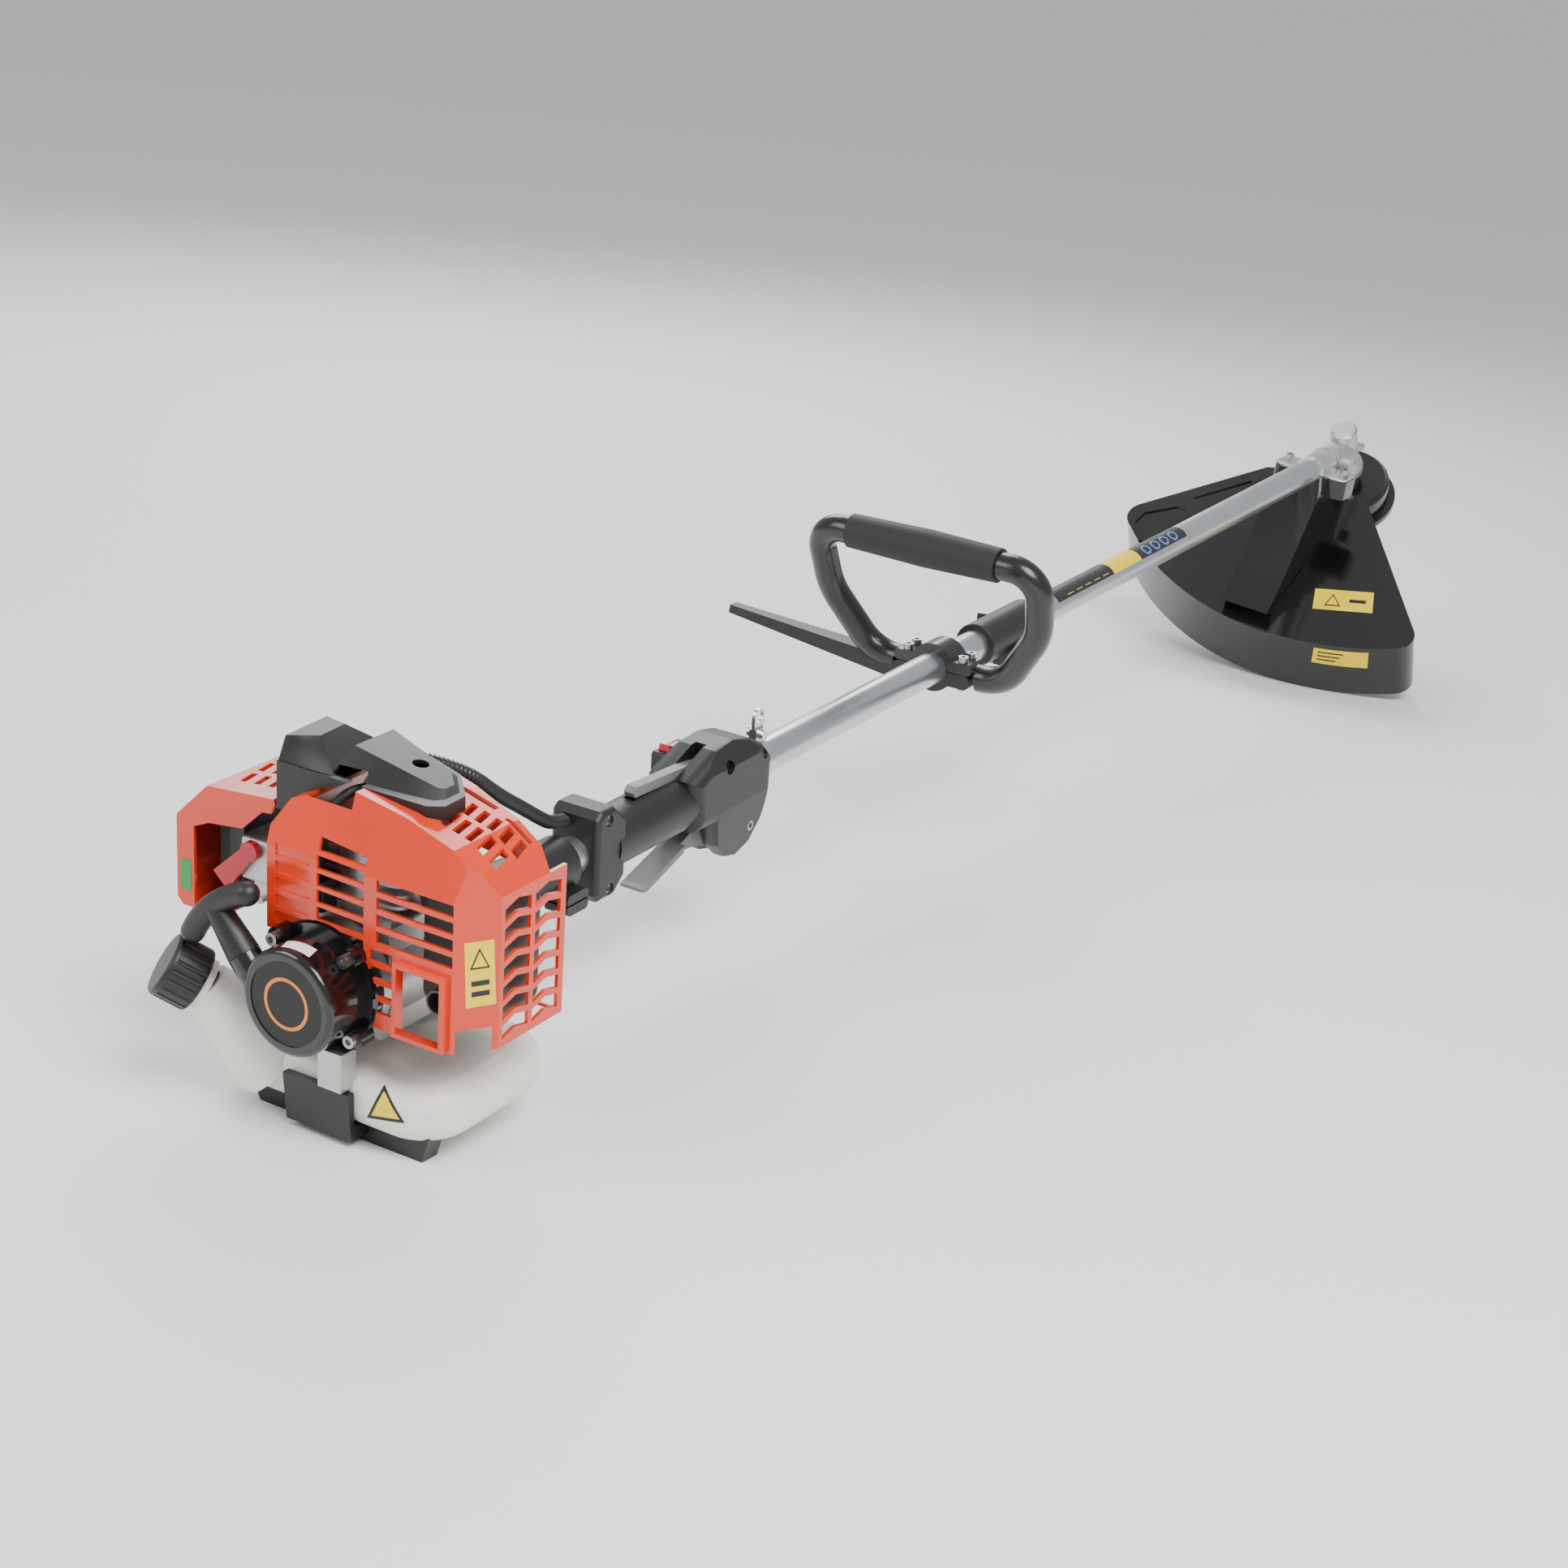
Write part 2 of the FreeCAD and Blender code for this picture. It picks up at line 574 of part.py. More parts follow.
def top_slots():
    slots = []
    for index in range(5):
        y0 = -70.0 - index * 9.6
        for x0, x1 in ((62.0, 80.0), (84.0, 99.0)):
            slots.append(prism_z([(x0, y0), (x1, y0 + 3), (x1, y0 - 2.4), (x0, y0 - 5.4)], 95, 140))
    slots.append(block(105, 110, -80, -50, 95, 140))
    slots.append(block(101.5, 105, -110, -90, 95, 140))
    return slots


def make_shroud():
    outer = shroud_form(0)
    inner = shroud_form(SHROUD_WALL)
    below = block(SHROUD_X0 + SHROUD_WALL, SHROUD_X1 - SHROUD_WALL, -118.5, -32.5, -30, 0)
    under = block(SHROUD_X0 + SHROUD_WALL, SHROUD_X1 - SHROUD_WALL, -32.5, 43.5, 20, 40)
    corner = block(SHROUD_X0 + SHROUD_WALL, SHROUD_X1 - SHROUD_WALL, -33, -29, -20, 28)
    ears = [rod_x(7 + GAP, SHROUD_X0 - 1, STARTER_LENGTH + GAP, y, z) for y, z in starter_screw_spots()]
    arch = rod_x(ARCH_R, SHROUD_X0 - 5, CASE_X0)
    front_arch = rod_x(HOUSING_R + 1.5, 110, SHROUD_X1 + 5)
    front_drop = block(110, SHROUD_X1 + 5, -HOUSING_R - 1.5, 60, -40, 40)
    intake = block(CYLINDER_X - 20, CYLINDER_X + 20, 40, 50, PORT_Z - 20, PORT_Z + 20)
    plug = block(46, 110, -14, 22, 100, 150)
    front_slots = [block(120, SHROUD_X1 + 5, -100 + 15 * k, -92 + 15 * k, 52, 80) for k in range(9)]
    cuts = ears + [inner, below, under, corner, arch, front_arch, front_drop, intake, plug]
    cuts += rear_vents() + side_grille() + top_slots() + front_slots
    shell = max(outer.cut(cuts).Solids, key=lambda solid: solid.Volume)
    frame = block(30, SHROUD_X0 + 0.5, -100, -60, -15, 36).cut(block(29, 36, -97, -63, -12, 33))
    PARTS["engine_shroud"] = fused(shell, frame)


COVER_OUTLINE = [(57, 57), (57, 4), (59, -62), (66, -71), (88, -70), (114, -46), (128, -8), (128, 57)]


COVER_WALL = 2.5


def hood_forms(inset):
    """Skirt, sloping right lobe and square left lobe of the top cover."""
    z0 = 130.0
    skirt = Part.Face(Part.makePolygon([V(x, y, 100) for x, y in COVER_OUTLINE + COVER_OUTLINE[:1]]))
    if inset:
        skirt = skirt.makeOffset2D(-inset)
    skirt = skirt.extrude(V(0, 0, 33 - inset))

    def top(x, y):
        return V(x, y, 148 - 0.17 * (12 - y) - inset)

    i = inset
    right = frustum([V(58 + i, 20, z0), V(60 + i, -64 + i, z0), V(66 + i, -70.5 + i, z0), V(88 - i, -69.5 + i, z0),
                     V(114 - i, -46 + i, z0), V(127.5 - i, 20, z0)],
                    [top(80 + i, 12), top(80 + i, -54 + i), top(83 + i, -58 + i), top(92 - i, -58 + i),
                     top(104 - i, -46 + i), top(118 - i, 12)])
    left = frustum([V(57.5 + i, 8 + i, z0), V(57.5 + i, 57 - i, z0), V(127.5 - i, 57 - i, z0), V(127.5 - i, 8 + i, z0)],
                   [V(75 + i, 36 + i, 150 - i), V(61 + i, 53 - i, 150 - i), V(104 - i, 55.5 - i, 150 - i),
                    V(101 - i, 38 + i, 150 - i)])
    return [skirt, right, left]


def make_top_cover():
    body = fused(*hood_forms(0))
    screw_well = rod_z(5.5, 138, 160, 96, -28)
    lead_room = block(62, CYLINDER_X, -8, 15, 98, HEAD_Z + 34)
    room = fused(*hood_forms(COVER_WALL))
    cover = body.cut([room, shroud_form(0), screw_well, lead_room])
    PARTS["top_cover"] = max(cover.Solids, key=lambda solid: solid.Volume)


# ---- intake side: insulator, carburettor, air filter -----------------------------------
INSULATOR_Y0 = 46.3
INSULATOR_Y1 = 60.0
CARB_Y1 = 98.0
CAM_AT = (84.0, 76.0)
CHOKE_PIVOT = V(70, 88, 58)
CHOKE_REACH = 36.0
CHOKE_REST = -49.0
FILTER_PROFILE = [(59, 104), (119, 98), (146, 71), (146, 12), (141, 7), (106, 7)]
FILTER_X0 = 60.0
FILTER_X1 = 134.0


def make_intake():
    plate = rounded(block(58, 112, INSULATOR_Y0, INSULATOR_Y1, 6, 80), 5, runs_along(Y_DIR))
    passage = rod_y(PORT_R - 1, 40, CARB_Y1 + 8, CYLINDER_X - 5, PORT_Z - 12)
    port = rod_y(PORT_R, 40, 54, CYLINDER_X, PORT_Z)
    PARTS["intake_insulator"] = plate.cut([passage, port])

    carb_y0 = INSULATOR_Y1
    body = rounded(block(70, 104, carb_y0 + 4, CARB_Y1, 34, 66), 4, runs_along(Y_DIR))
    flange = rounded(block(66, 108, carb_y0, carb_y0 + 5, 30, 70), 6, runs_along(Y_DIR))
    pump = rounded(block(73, 101, carb_y0 + 8, CARB_Y1 - 6, 24, 35), 3, runs_along(Z_DIR))
    boss = rod_z(7, 64, 71, *CAM_AT)
    choke_boss = rod_x(6, 69.5, 76, CHOKE_PIVOT.y, CHOKE_PIVOT.z)
    nipple = rod_x(2.4, 60, 74, 74, 29)
    stop_screw = rod_x(3, 62, 72, 70, 50)
    body = fused(body, flange, pump, boss, choke_boss, nipple, stop_screw)
    cam_hole = rod_z(2.5 + RUNNING, 58, 72, *CAM_AT)
    choke_hole = rod_x(2.5 + RUNNING, 69, 79, CHOKE_PIVOT.y, CHOKE_PIVOT.z)
    PARTS["carburettor"] = body.cut([passage, cam_hole, choke_hole])

    shaft = rod_z(2.5, 60, 73, *CAM_AT)
    disc = rod_z(8, 71 + GAP, 75, *CAM_AT)
    arm = block(CAM_AT[0], CAM_AT[0] + 15, CAM_AT[1] - 3, CAM_AT[1] + 3, 71 + GAP, 75)
    PARTS["throttle_cam"] = fused(shaft, disc, arm)

    shaft = rod_x(2.5, 66, 78, CHOKE_PIVOT.y, CHOKE_PIVOT.z)
    hub = rod_x(7, 64.5, 69, CHOKE_PIVOT.y, CHOKE_PIVOT.z)
    blade = prism_x([(-5, 0), (5, 0), (9, -CHOKE_REACH), (-7, -CHOKE_REACH)], 64.5, 69)
    blade.translate(V(0, CHOKE_PIVOT.y, CHOKE_PIVOT.z))
    blade.rotate(CHOKE_PIVOT, X_DIR, 90 + CHOKE_REST)
    PARTS["choke_lever"] = fused(shaft, hub, blade)


def make_air_filter():
    base_y0 = CARB_Y1
    base = rounded(block(72, 130, base_y0, base_y0 + 5, 16, 90), 8, runs_along(Y_DIR))
    rim = rounded(block(74, 128, base_y0 + 4, base_y0 + 14, 18, 88), 6, runs_along(Y_DIR))
    room = rounded(block(76, 126, base_y0 + 5, base_y0 + 15, 20, 86), 5, runs_along(Y_DIR))
    hole = rod_y(PORT_R - 1, base_y0 - 1, base_y0 + 6, CYLINDER_X - 5, PORT_Z - 12)
    PARTS["air_filter_base"] = fused(base, rim.cut(room)).cut(hole)
    foam = block(77, 125, base_y0 + 5 + SEAM, base_y0 + 25, 21, 85)
    PARTS["air_filter_element"] = rounded(foam, 5, runs_along(Y_DIR))

    wall = 2.4
    outer = prism_x(FILTER_PROFILE, FILTER_X0, FILTER_X1)
    outer = rounded(outer, 3, runs_along(X_DIR))
    inner_profile = [(50, 104 - wall), (118, 98 - wall), (146 - wall, 71 - wall * 0.4),
                     (146 - wall, 12 + wall * 0.4), (140, 7 + wall), (50, 7 + wall)]
    inner = prism_x(inner_profile, FILTER_X0 + wall, FILTER_X1 - wall)
    window = prism_x([(131, 13), (131, 66), (118, 72), (89, 76), (72, 92), (50, 95), (50, 0), (131, 0)],
                     FILTER_X0 - 5, FILTER_X0 + wall + 1)
    slots = []
    for row, x0 in enumerate((78.0, 100.0)):
        for column in range(4):
            y0 = 66.0 + 12 * column + 4 * row
            slots.append(prism_z([(x0, y0), (x0 + 16, y0 + 3), (x0 + 16, y0 + 8), (x0, y0 + 5)], 92, 110))
    slots.append(prism_y([(112, 84), (150, 68), (150, 110), (112, 110)], 50, 92))
    post = rod_y(4, base_y0 + 25 + GAP, 146 - wall + 0.5, 101, 53)
    PARTS["air_filter_cover"] = fused(outer.cut([inner, window] + slots), post)


# ---- fuel tank, cap and stand ----------------------------------------------------------
def cap_point(distance):
    return step_from(CAP_CENTRE, CAP_DIR, distance)


def make_tank():
    def tank_box(inset):
        box = block(TANK_X0 + inset, TANK_X1 - inset, TANK_Y0 + inset, TANK_Y1 - inset,
                    TANK_BOTTOM + inset, TANK_TOP - inset)
        box = rounded(box, 38 - inset, runs_along(Z_DIR))
        return rounded(box, 15 - inset, not_along(Z_DIR))

    neck_foot = V(52, 50, -72)
    neck_lip = cap_point(CAP_HEIGHT / 2 - 6)
    cap_base = cap_point(-CAP_HEIGHT / 2)
    neck_top = cap_point(-CAP_HEIGHT / 2 - 4.5)
    above = block(-100, 200, -200, 200, TANK_BOTTOM + 4, 100)
    cone = cone_between(neck_foot, neck_top, 35, NECK_R + 2).common(above)
    shoulder = Part.makeSphere(NECK_R + 2, neck_top).common(
        rod(30, neck_top, cap_base))
    neck = fused(cone, shoulder, rod(NECK_R, neck_top, neck_lip))
    outer = fused(tank_box(0), neck)
    above = block(-100, 200, -200, 200, TANK_BOTTOM + 4 + TANK_WALL, 100)
    bore = cone_between(neck_foot, neck_top, 35 - TANK_WALL - 1, NECK_R - TANK_WALL).common(above)
    bore = fused(bore, rod(NECK_R - TANK_WALL, neck_top, cap_point(CAP_HEIGHT)))
    PARTS["fuel_tank"] = outer.cut(fused(tank_box(TANK_WALL), bore))

    shell = rod(CAP_R, cap_point(-CAP_HEIGHT / 2 + GAP), cap_point(CAP_HEIGHT / 2))
    shell = rounded(shell, 3, lambda edge: isinstance(edge.Curve, Part.Circle))
    room = rod(NECK_R + GAP, cap_base, cap_point(CAP_HEIGHT / 2 - 5.5))
    grooves = []
    groove_count = 20
    for index in range(groove_count):
        groove = rod(1.6, cap_point(-CAP_HEIGHT), cap_point(CAP_HEIGHT / 2 - 4))
        side = unit(CAP_DIR.cross(Z_DIR)).multiply(CAP_R + 0.4)
        groove.translate(side)
        groove.rotate(CAP_CENTRE, CAP_DIR, index * 360 / groove_count)
        grooves.append(groove)
    PARTS["fuel_cap"] = shell.cut([room] + grooves)


BRACKET_X0 = 18.0
STAND_TOP = TANK_BOTTOM - SEAM


def make_stand(floor):
    bracket_x1 = STARTER_LENGTH - 5 - SEAM
    lug = block(BRACKET_X0, bracket_x1, -30, -11, TANK_TOP - 9, -34)
    lug = lug.cut(PARTS["fuel_tank"])
    lug = max(lug.Solids, key=lambda solid: solid.BoundBox.ZMax)
    PARTS["tank_bracket"] = lug.cut([rod_x(STARTER_R + SEAM, -1, STARTER_LENGTH),
                                     rod_z(SCREW_R, -60, -30, 25, -20)])

    deep = -150.0
    rear = TANK_X0 + 12
    tip = STAND_TOP + 6
    profile = [(67, tip), (63, tip), (54, STAND_TOP), (-64, STAND_TOP), (-80, tip), (-84, tip),
               (-66, deep), (-22, deep), (-12, STAND_TOP - 3), (0, STAND_TOP - 3), (10, deep), (30, deep)]
    tray = prism_x(profile, rear, rear + 16)
    skids = [block(rear, rear + 58, y0, y1, deep, STAND_TOP) for y0, y1 in ((-42, -30), (10, 22))]
    brace = block(rear + 46, rear + 58, -42, 22, STAND_TOP - 8, STAND_TOP)
    web = block(rear, rear + 58, -42, 22, STAND_TOP - 3, STAND_TOP)
    tongue = prism_y([(TANK_X0 - 8, -62), (TANK_X0 - 2, -62), (TANK_X0 - 1, -86), (rear, STAND_TOP - 1),
                      (rear, STAND_TOP - 7), (TANK_X0 - 4, STAND_TOP - 7)], -34, 20)
    stand = fused(tray, brace, web, tongue, *skids).cut([PARTS["fuel_tank"], floor])
    PARTS["tank_stand"] = max(stand.Solids, key=lambda solid: solid.Volume)


# ---- clutch and shaft line -------------------------------------------------------------
def make_clutch():
    drum = ring_x(DRUM_R, DRUM_R - DRUM_WALL, 125, 150)
    web = rod_x(DRUM_R - 1, 147, 150)
    stub = rod_x(CRANK_R, 149, DRIVE_START + 12)
    socket = rod_x(DRIVE_R, DRIVE_START, DRIVE_START + 13)
    PARTS["clutch_drum"] = fused(drum, web, stub).cut(socket)

    outer = lathe([(CASE_X1, 0), (CASE_X1, HOUSING_R), (158, HOUSING_R), (172, HOUSING_R - 6),
                   (205, CLAMP_R + 3), (250, CLAMP_R), (CLAMP_END, CLAMP_R), (CLAMP_END, 0)])
    lug = block(CLAMP_END - 26, CLAMP_END - 1, -28, -8, -26, -10)
    outer = fused(outer, rounded(lug, 4, runs_along(Y_DIR)))
    room = rod_x(DRUM_R + 2, CASE_X1 - 1, 154)
    seat = rod_x(BEARING_R, 153, DRUM_BEARING_X + BEARING_WIDTH)
    throat = rod_x(CRANK_R + 2, 153, TUBE_START + 1)
    tube_seat = rod_x(TUBE_R, TUBE_START, CLAMP_END + 1)
    slit = block(250, CLAMP_END + 1, -40, -11, -18.5, -17)
    windows = []
    for angle in (60, 180, 300):
        window = block(132, 146, -9, 9, DRUM_R, HOUSING_R + 5)
        window.rotate(V(0, 0, 0), X_DIR, angle)
        windows.append(window)
    PARTS["clutch_housing"] = outer.cut([room, seat, throat, tube_seat, slit] + windows)


def make_shaft():
    inner = TUBE_R - TUBE_WALL
    PARTS["upper_tube"] = ring_x(TUBE_R, inner, TUBE_START, TUBE_SPLIT)
    PARTS["lower_tube"] = ring_x(TUBE_R, inner, TUBE_SPLIT + SEAM, TUBE_END)
    PARTS["drive_shaft"] = rod_x(DRIVE_R, DRIVE_START, DRIVE_END)
    bushes = [ring_x(inner, DRIVE_R + RUNNING, x, x + BUSH_LENGTH) for x in BUSH_X]
    PARTS["shaft_bushings"] = Part.makeCompound(bushes)


# ---- rear handle with its controls -----------------------------------------------------
HANDLE_SIDE = [(HANDLE_X1 + dx, z) for dx, z in (
    (-107, -21), (-81, -23), (-69, -44), (-55, -57), (-38, -61), (-21, -55), (-8, -38), (0, -14),
    (0, 14), (-12, 26), (-31, 35), (-52, 39), (-77, 37), (-113, 22))]
HANDLE_SCREWS = ((HANDLE_X0 + 14, TUBE_R + 13.5), (HANDLE_X0 + 18, -TUBE_R - 13.0),
                 (HANDLE_X1 - 23, -TUBE_R - 26), (HANDLE_X1 - 14, TUBE_R + 4.8))
TRIGGER_ROOM = (TRIGGER_PIVOT.x - 46, TRIGGER_PIVOT.x + 20)


def make_handle():
    flange = prism_y([(HANDLE_X0, -28), (HANDLE_X0 + 5, -34), (HANDLE_X0 + 25, -34), (GRIP_X0 + 3, -22),
                      (GRIP_X0 + 3, 22), (HANDLE_X0 + 22, 36), (HANDLE_X0 + 6, 36), (HANDLE_X0, 31)], -21, 21)
    flange = rounded(flange, 5, not_along(Y_DIR))
    grip = rod_x(GRIP_R, GRIP_X0 - 6, GRIP_X1)
    for index in range(5):
        ridge_x = GRIP_X0 + 16 + index * 17.5
        grip = grip.cut(prism_y([(ridge_x, -GRIP_R - 1), (ridge_x + 8, -GRIP_R + 1.6),
                                 (ridge_x + 16, -GRIP_R - 1)], -30, 30))
    bulb = prism_y(HANDLE_SIDE, -BULB_HALF, BULB_HALF)
    bulb = rounded(bulb, 11, not_along(Y_DIR))
    waist = prism_x([(-14, 42), (14, 42), (BULB_HALF, 22), (BULB_HALF, -12), (15, -64), (-15, -64),
                     (-BULB_HALF, -12), (-BULB_HALF, 22)], HANDLE_X0, HANDLE_X1 + 1)
    bulb = bulb.common(waist)
    body = fused(flange, grip, bulb)
    bore = rod_x(TUBE_R, HANDLE_X0 - 1, HANDLE_X1 + 1)
    trigger_slot = block(TRIGGER_ROOM[0], TRIGGER_ROOM[1], -TRIGGER_HALF - GAP, TRIGGER_HALF + GAP, -70, -10)
    lock_slot = block(LOCK_PIVOT.x - 85, LOCK_PIVOT.x + 12, -LOCK_HALF - GAP, LOCK_HALF + GAP, TUBE_R + 0.8, 45)
    lock_pin = rod_y(2, -10, 10, LOCK_PIVOT.x, LOCK_PIVOT.z)
    trigger_pin = rod_y(2.5, -10, 10, TRIGGER_PIVOT.x, TRIGGER_PIVOT.z)
    conduit_end = CONDUIT_ROUTE[-1]
    conduit_run = CONDUIT_ROUTE[-2].sub(conduit_end)
    conduit_hole = rod(CONDUIT_R + SEAM, step_from(conduit_end, conduit_run, 9), conduit_end)
    side_pocket = rod_y(5.5, -30, -BULB_HALF + 5, HANDLE_X1 - 65, 22)
    screw_holes = [rod_y(SCREW_R, -30, 30, x, z) for x, z in HANDLE_SCREWS]
    head_wells = [rod_y(SCREW_HEAD_R + SEAM, -30, -14, x, z) for x, z in HANDLE_SCREWS]
    body = body.cut([bore, trigger_slot, lock_slot, conduit_hole, side_pocket] + screw_holes + head_wells)
    body = fused(body, lock_pin, trigger_pin)
    left = block(HANDLE_X0 - 5, HANDLE_X1 + 5, 0, 60, -80, 60)
    right = block(HANDLE_X0 - 5, HANDLE_X1 + 5, -60, 0, -80, 60)
    PARTS["handle_left"] = body.common(left)
    PARTS["handle_right"] = body.common(right)


def make_controls():
    px = TRIGGER_PIVOT.x
    pz = TRIGGER_PIVOT.z
    blade = prism_y([(px + 10, pz - 2), (px + 6, pz + 9), (px - 12, pz + 11), (px - 37, pz + 8),
                     (px - 60, pz - 1), (px - 102, pz - 14), (px - 107, pz - 15), (px - 106, pz - 18),
                     (px - 100, pz - 19), (px - 52, pz - 3.5), (px - 30, pz - 6), (px - 6, pz - 14),
                     (px + 6, pz - 17), (px + 10, pz - 12)], -TRIGGER_HALF, TRIGGER_HALF)
    wing = prism_y([(px - 50, pz + 2), (px - 60, pz - 1), (px - 102, pz - 14), (px - 107, pz - 15),
                    (px - 106, pz - 18), (px - 100, pz - 19), (px - 52, pz - 3.5)], -10, 10)
    trigger = fused(blade, wing)
    trigger = trigger.cut([rod_y(2.5 + RUNNING, -20, 20, px, pz)])
    PARTS["throttle_trigger"] = trigger

    lx = LOCK_PIVOT.x
    lz = LOCK_PIVOT.z
    lever = prism_y([(lx - 82, lz + 3), (lx - 84, lz + 7), (lx - 80, lz + 11), (lx - 16, lz + 8), (lx + 8, lz + 5),
                     (lx + 8, lz - 3.5), (lx - 8, lz - 3.5), (lx - 20, lz + 1)], -LOCK_HALF, LOCK_HALF)
    PARTS["lock_lever"] = lever.cut(rod_y(2 + RUNNING, -20, 20, LOCK_PIVOT.x, LOCK_PIVOT.z))

    y0 = BULB_HALF + SEAM
    sx = SWITCH_PIVOT.x
    sz = SWITCH_PIVOT.z
    box = rounded(block(sx - 19, sx + 19, y0, y0 + 14, sz - 17, sz + 3), 3, runs_along(Y_DIR))
    well = block(sx - 14, sx + 14, y0 + 2, y0 + 12, sz - 6, sz + 12)
    pin = rod_y(1.5, y0 + 1, y0 + 13, sx, sz)
    PARTS["switch_body"] = fused(box.cut(well), pin)
    rocker = prism_y([(sx - 13, sz + 3.5), (sx - 12, sz + 8.5), (sx, sz + 3.5), (sx + 13, sz + 3),
                      (sx + 12.5, sz - 1), (sx, sz - 4.5), (sx - 12, sz - 2)], y0 + 2.5, y0 + 11.5)
    PARTS["switch_rocker"] = rocker.cut(rod_y(1.5 + RUNNING, 0, 60, sx, sz))


# The throttle conduit is held at both ends: at the carburettor and in the handle's flange.
CONDUIT_R = 5.2
CONDUIT_ROUTE = [V(100, 80, 82), V(137, 80, 86), V(158, 48, 112), V(192, 10, 98), V(222, 4, 72),
                 V(250, 5, 54), V(274, 7, 38), V(292, 8, 27), V(HANDLE_X0 + 6, 8, 24)]


def make_conduit():
    radii = soft_radii(CONDUIT_ROUTE)
    tube, path = bent_tube(CONDUIT_ROUTE, radii, CONDUIT_R)
    PARTS["throttle_conduit"] = tube
    drawn = tube.Volume / (math.pi * CONDUIT_R ** 2)
    print("conduit radii", [round(r, 1) for r in radii], "length", round(path.Length, 1), round(drawn, 1))


# ---- hanger, loop handle, barrier arm and coupler --------------------------------------
LOOP_WIDTH = 26.0


def make_hanger():
    x0 = HANGER_X - HANGER_WIDTH / 2
    x1 = HANGER_X + HANGER_WIDTH / 2
    band_r = TUBE_R + 1.8
    top = TUBE_R + 29
    bolt_z = TUBE_R + 8
    band = ring_x(band_r, TUBE_R, x0, x1).cut(block(x0 - 1, x1 + 1, -1.4, 1.4, 0, 30))
    ears = [block(x0, x1, 1.4, 3.4, TUBE_R - 1, TUBE_R + 13).cut(rod_x(TUBE_R, x0 - 1, x1 + 1)),
            block(x0, x1, -3.4, -1.4, TUBE_R - 1, TUBE_R + 13).cut(rod_x(TUBE_R, x0 - 1, x1 + 1))]
    plate = rounded(block(x0, x1, -1.4, 1.4, TUBE_R + 0.6, top), 6, lambda edge: (
        abs(edge.CenterOfMass.z - top) < 0.1 and runs_along(Y_DIR)(edge)))
    eye = rod_y(HANGER_EYE_R, -5, 5, HANGER_X, HANGER_EYE_Z)
    bolt = fused(rod_y(2.5, -7, 7, HANGER_X, bolt_z), rod_y(4.2, -7.4, -3.4, HANGER_X, bolt_z),
                 rod_y(4.4, 3.4, 7.4, HANGER_X, bolt_z))
    PARTS["harness_hanger"] = fused(band, plate.cut(eye), *ears, bolt)


def lean_back(shape):
    shape.rotate(V(LOOP_X, 0, 0), Y_DIR, -LOOP_LEAN)
    return shape


def make_loop():
    side = [(LOOP_BOLT_Y - 4, -4), (LOOP_HALF_BASE, -4), (LOOP_HALF_SIDE, LOOP_HEIGHT / 2 - 3),
            (LOOP_HALF_TOP, LOOP_HEIGHT)]
    corners = side + [(-y, z) for y, z in reversed(side)]
    route = [V(LOOP_X, y, z) for y, z in corners]
    loop, _ = bent_tube(route, [40, 60, 24, 24, 60, 40], LOOP_TUBE_R)
    loop = lean_back(loop)
    x0 = LOOP_X - LOOP_WIDTH / 2
    x1 = LOOP_X + LOOP_WIDTH / 2
    arch = rod_x(TUBE_R + 8, x0, x1).common(block(x0, x1, -40, 40, 0.3, 40))
    wings = rounded(block(x0, x1, -38, 38, 0.3, 10), 4, runs_along(X_DIR))
    saddle = fused(arch, wings)
    body = fused(loop, saddle)
    lower_half = block(x0 - 20, x1 + 20, -40, 40, -30, 0.3)
    head_room = [rod_z(SCREW_HEAD_R + SEAM, 10, 30, x, y) for x, y in loop_bolt_spots()]
    body = body.cut([rod_x(TUBE_R, x0 - 40, x1 + 40), lower_half] + head_room + loop_bolt_holes())
    PARTS["loop_handle"] = body

    start = V(LOOP_X, LOOP_GRIP_Y[0], LOOP_HEIGHT)
    end = V(LOOP_X, LOOP_GRIP_Y[1], LOOP_HEIGHT)
    centre = V(LOOP_X, 0, LOOP_HEIGHT)
    middle = LOOP_TUBE_R + 4.5
    sleeve = fused(cone_between(start, centre, LOOP_TUBE_R + 2.8, middle),
                   cone_between(centre, end, middle, LOOP_TUBE_R + 2.8))
    bore = rod(LOOP_TUBE_R + SEAM, start.sub(Y_DIR), end.add(Y_DIR))
    PARTS["loop_grip"] = lean_back(sleeve.cut(bore))

    clamp = fused(rod_x(TUBE_R + 7, x0, x1).common(block(x0, x1, -40, 40, -40, -0.3)),
                  rounded(block(x0, x1, -36, 36, -13, -0.3), 4, runs_along(X_DIR)))
    PARTS["loop_clamp"] = clamp.cut([rod_x(TUBE_R, x0 - 5, x1 + 5)] + loop_bolt_holes())

    root_y = 22.0
    foot = block(x0 + 1, x1 - 1, root_y, 42, -19.5, -13 - SEAM)
    foot = foot.cut(rod_x(TUBE_R + 7 + SEAM, x0 - 5, x1 + 5))
    bar = frustum([V(x0 + 1, 37, -19), V(x1 - 1, 37, -19), V(x1 - 1, 37, -3), V(x0 + 3, 37, -3)],
                  [V(LOOP_X + 1, ARM_REACH, -3), V(LOOP_X + 14, ARM_REACH, -3),
                   V(LOOP_X + 13, ARM_REACH, 4), V(LOOP_X + 3, ARM_REACH, 4)])
    clear = block(x0 - 5, x1 + 5, 20, 36 + SEAM, -13 - SEAM, 5)
    arm = fused(foot, bar).cut([clear, PARTS["loop_handle"]] + loop_bolt_holes())
    PARTS["barrier_arm"] = max(arm.Solids, key=lambda solid: solid.Volume)


def loop_bolt_spots():
    return [(LOOP_X + dx, y) for dx in (-7.5, 7.5) for y in (-LOOP_BOLT_Y, LOOP_BOLT_Y)]


def loop_bolt_holes():
    return [rod_z(SCREW_R, -40, 40, x, y) for x, y in loop_bolt_spots()]


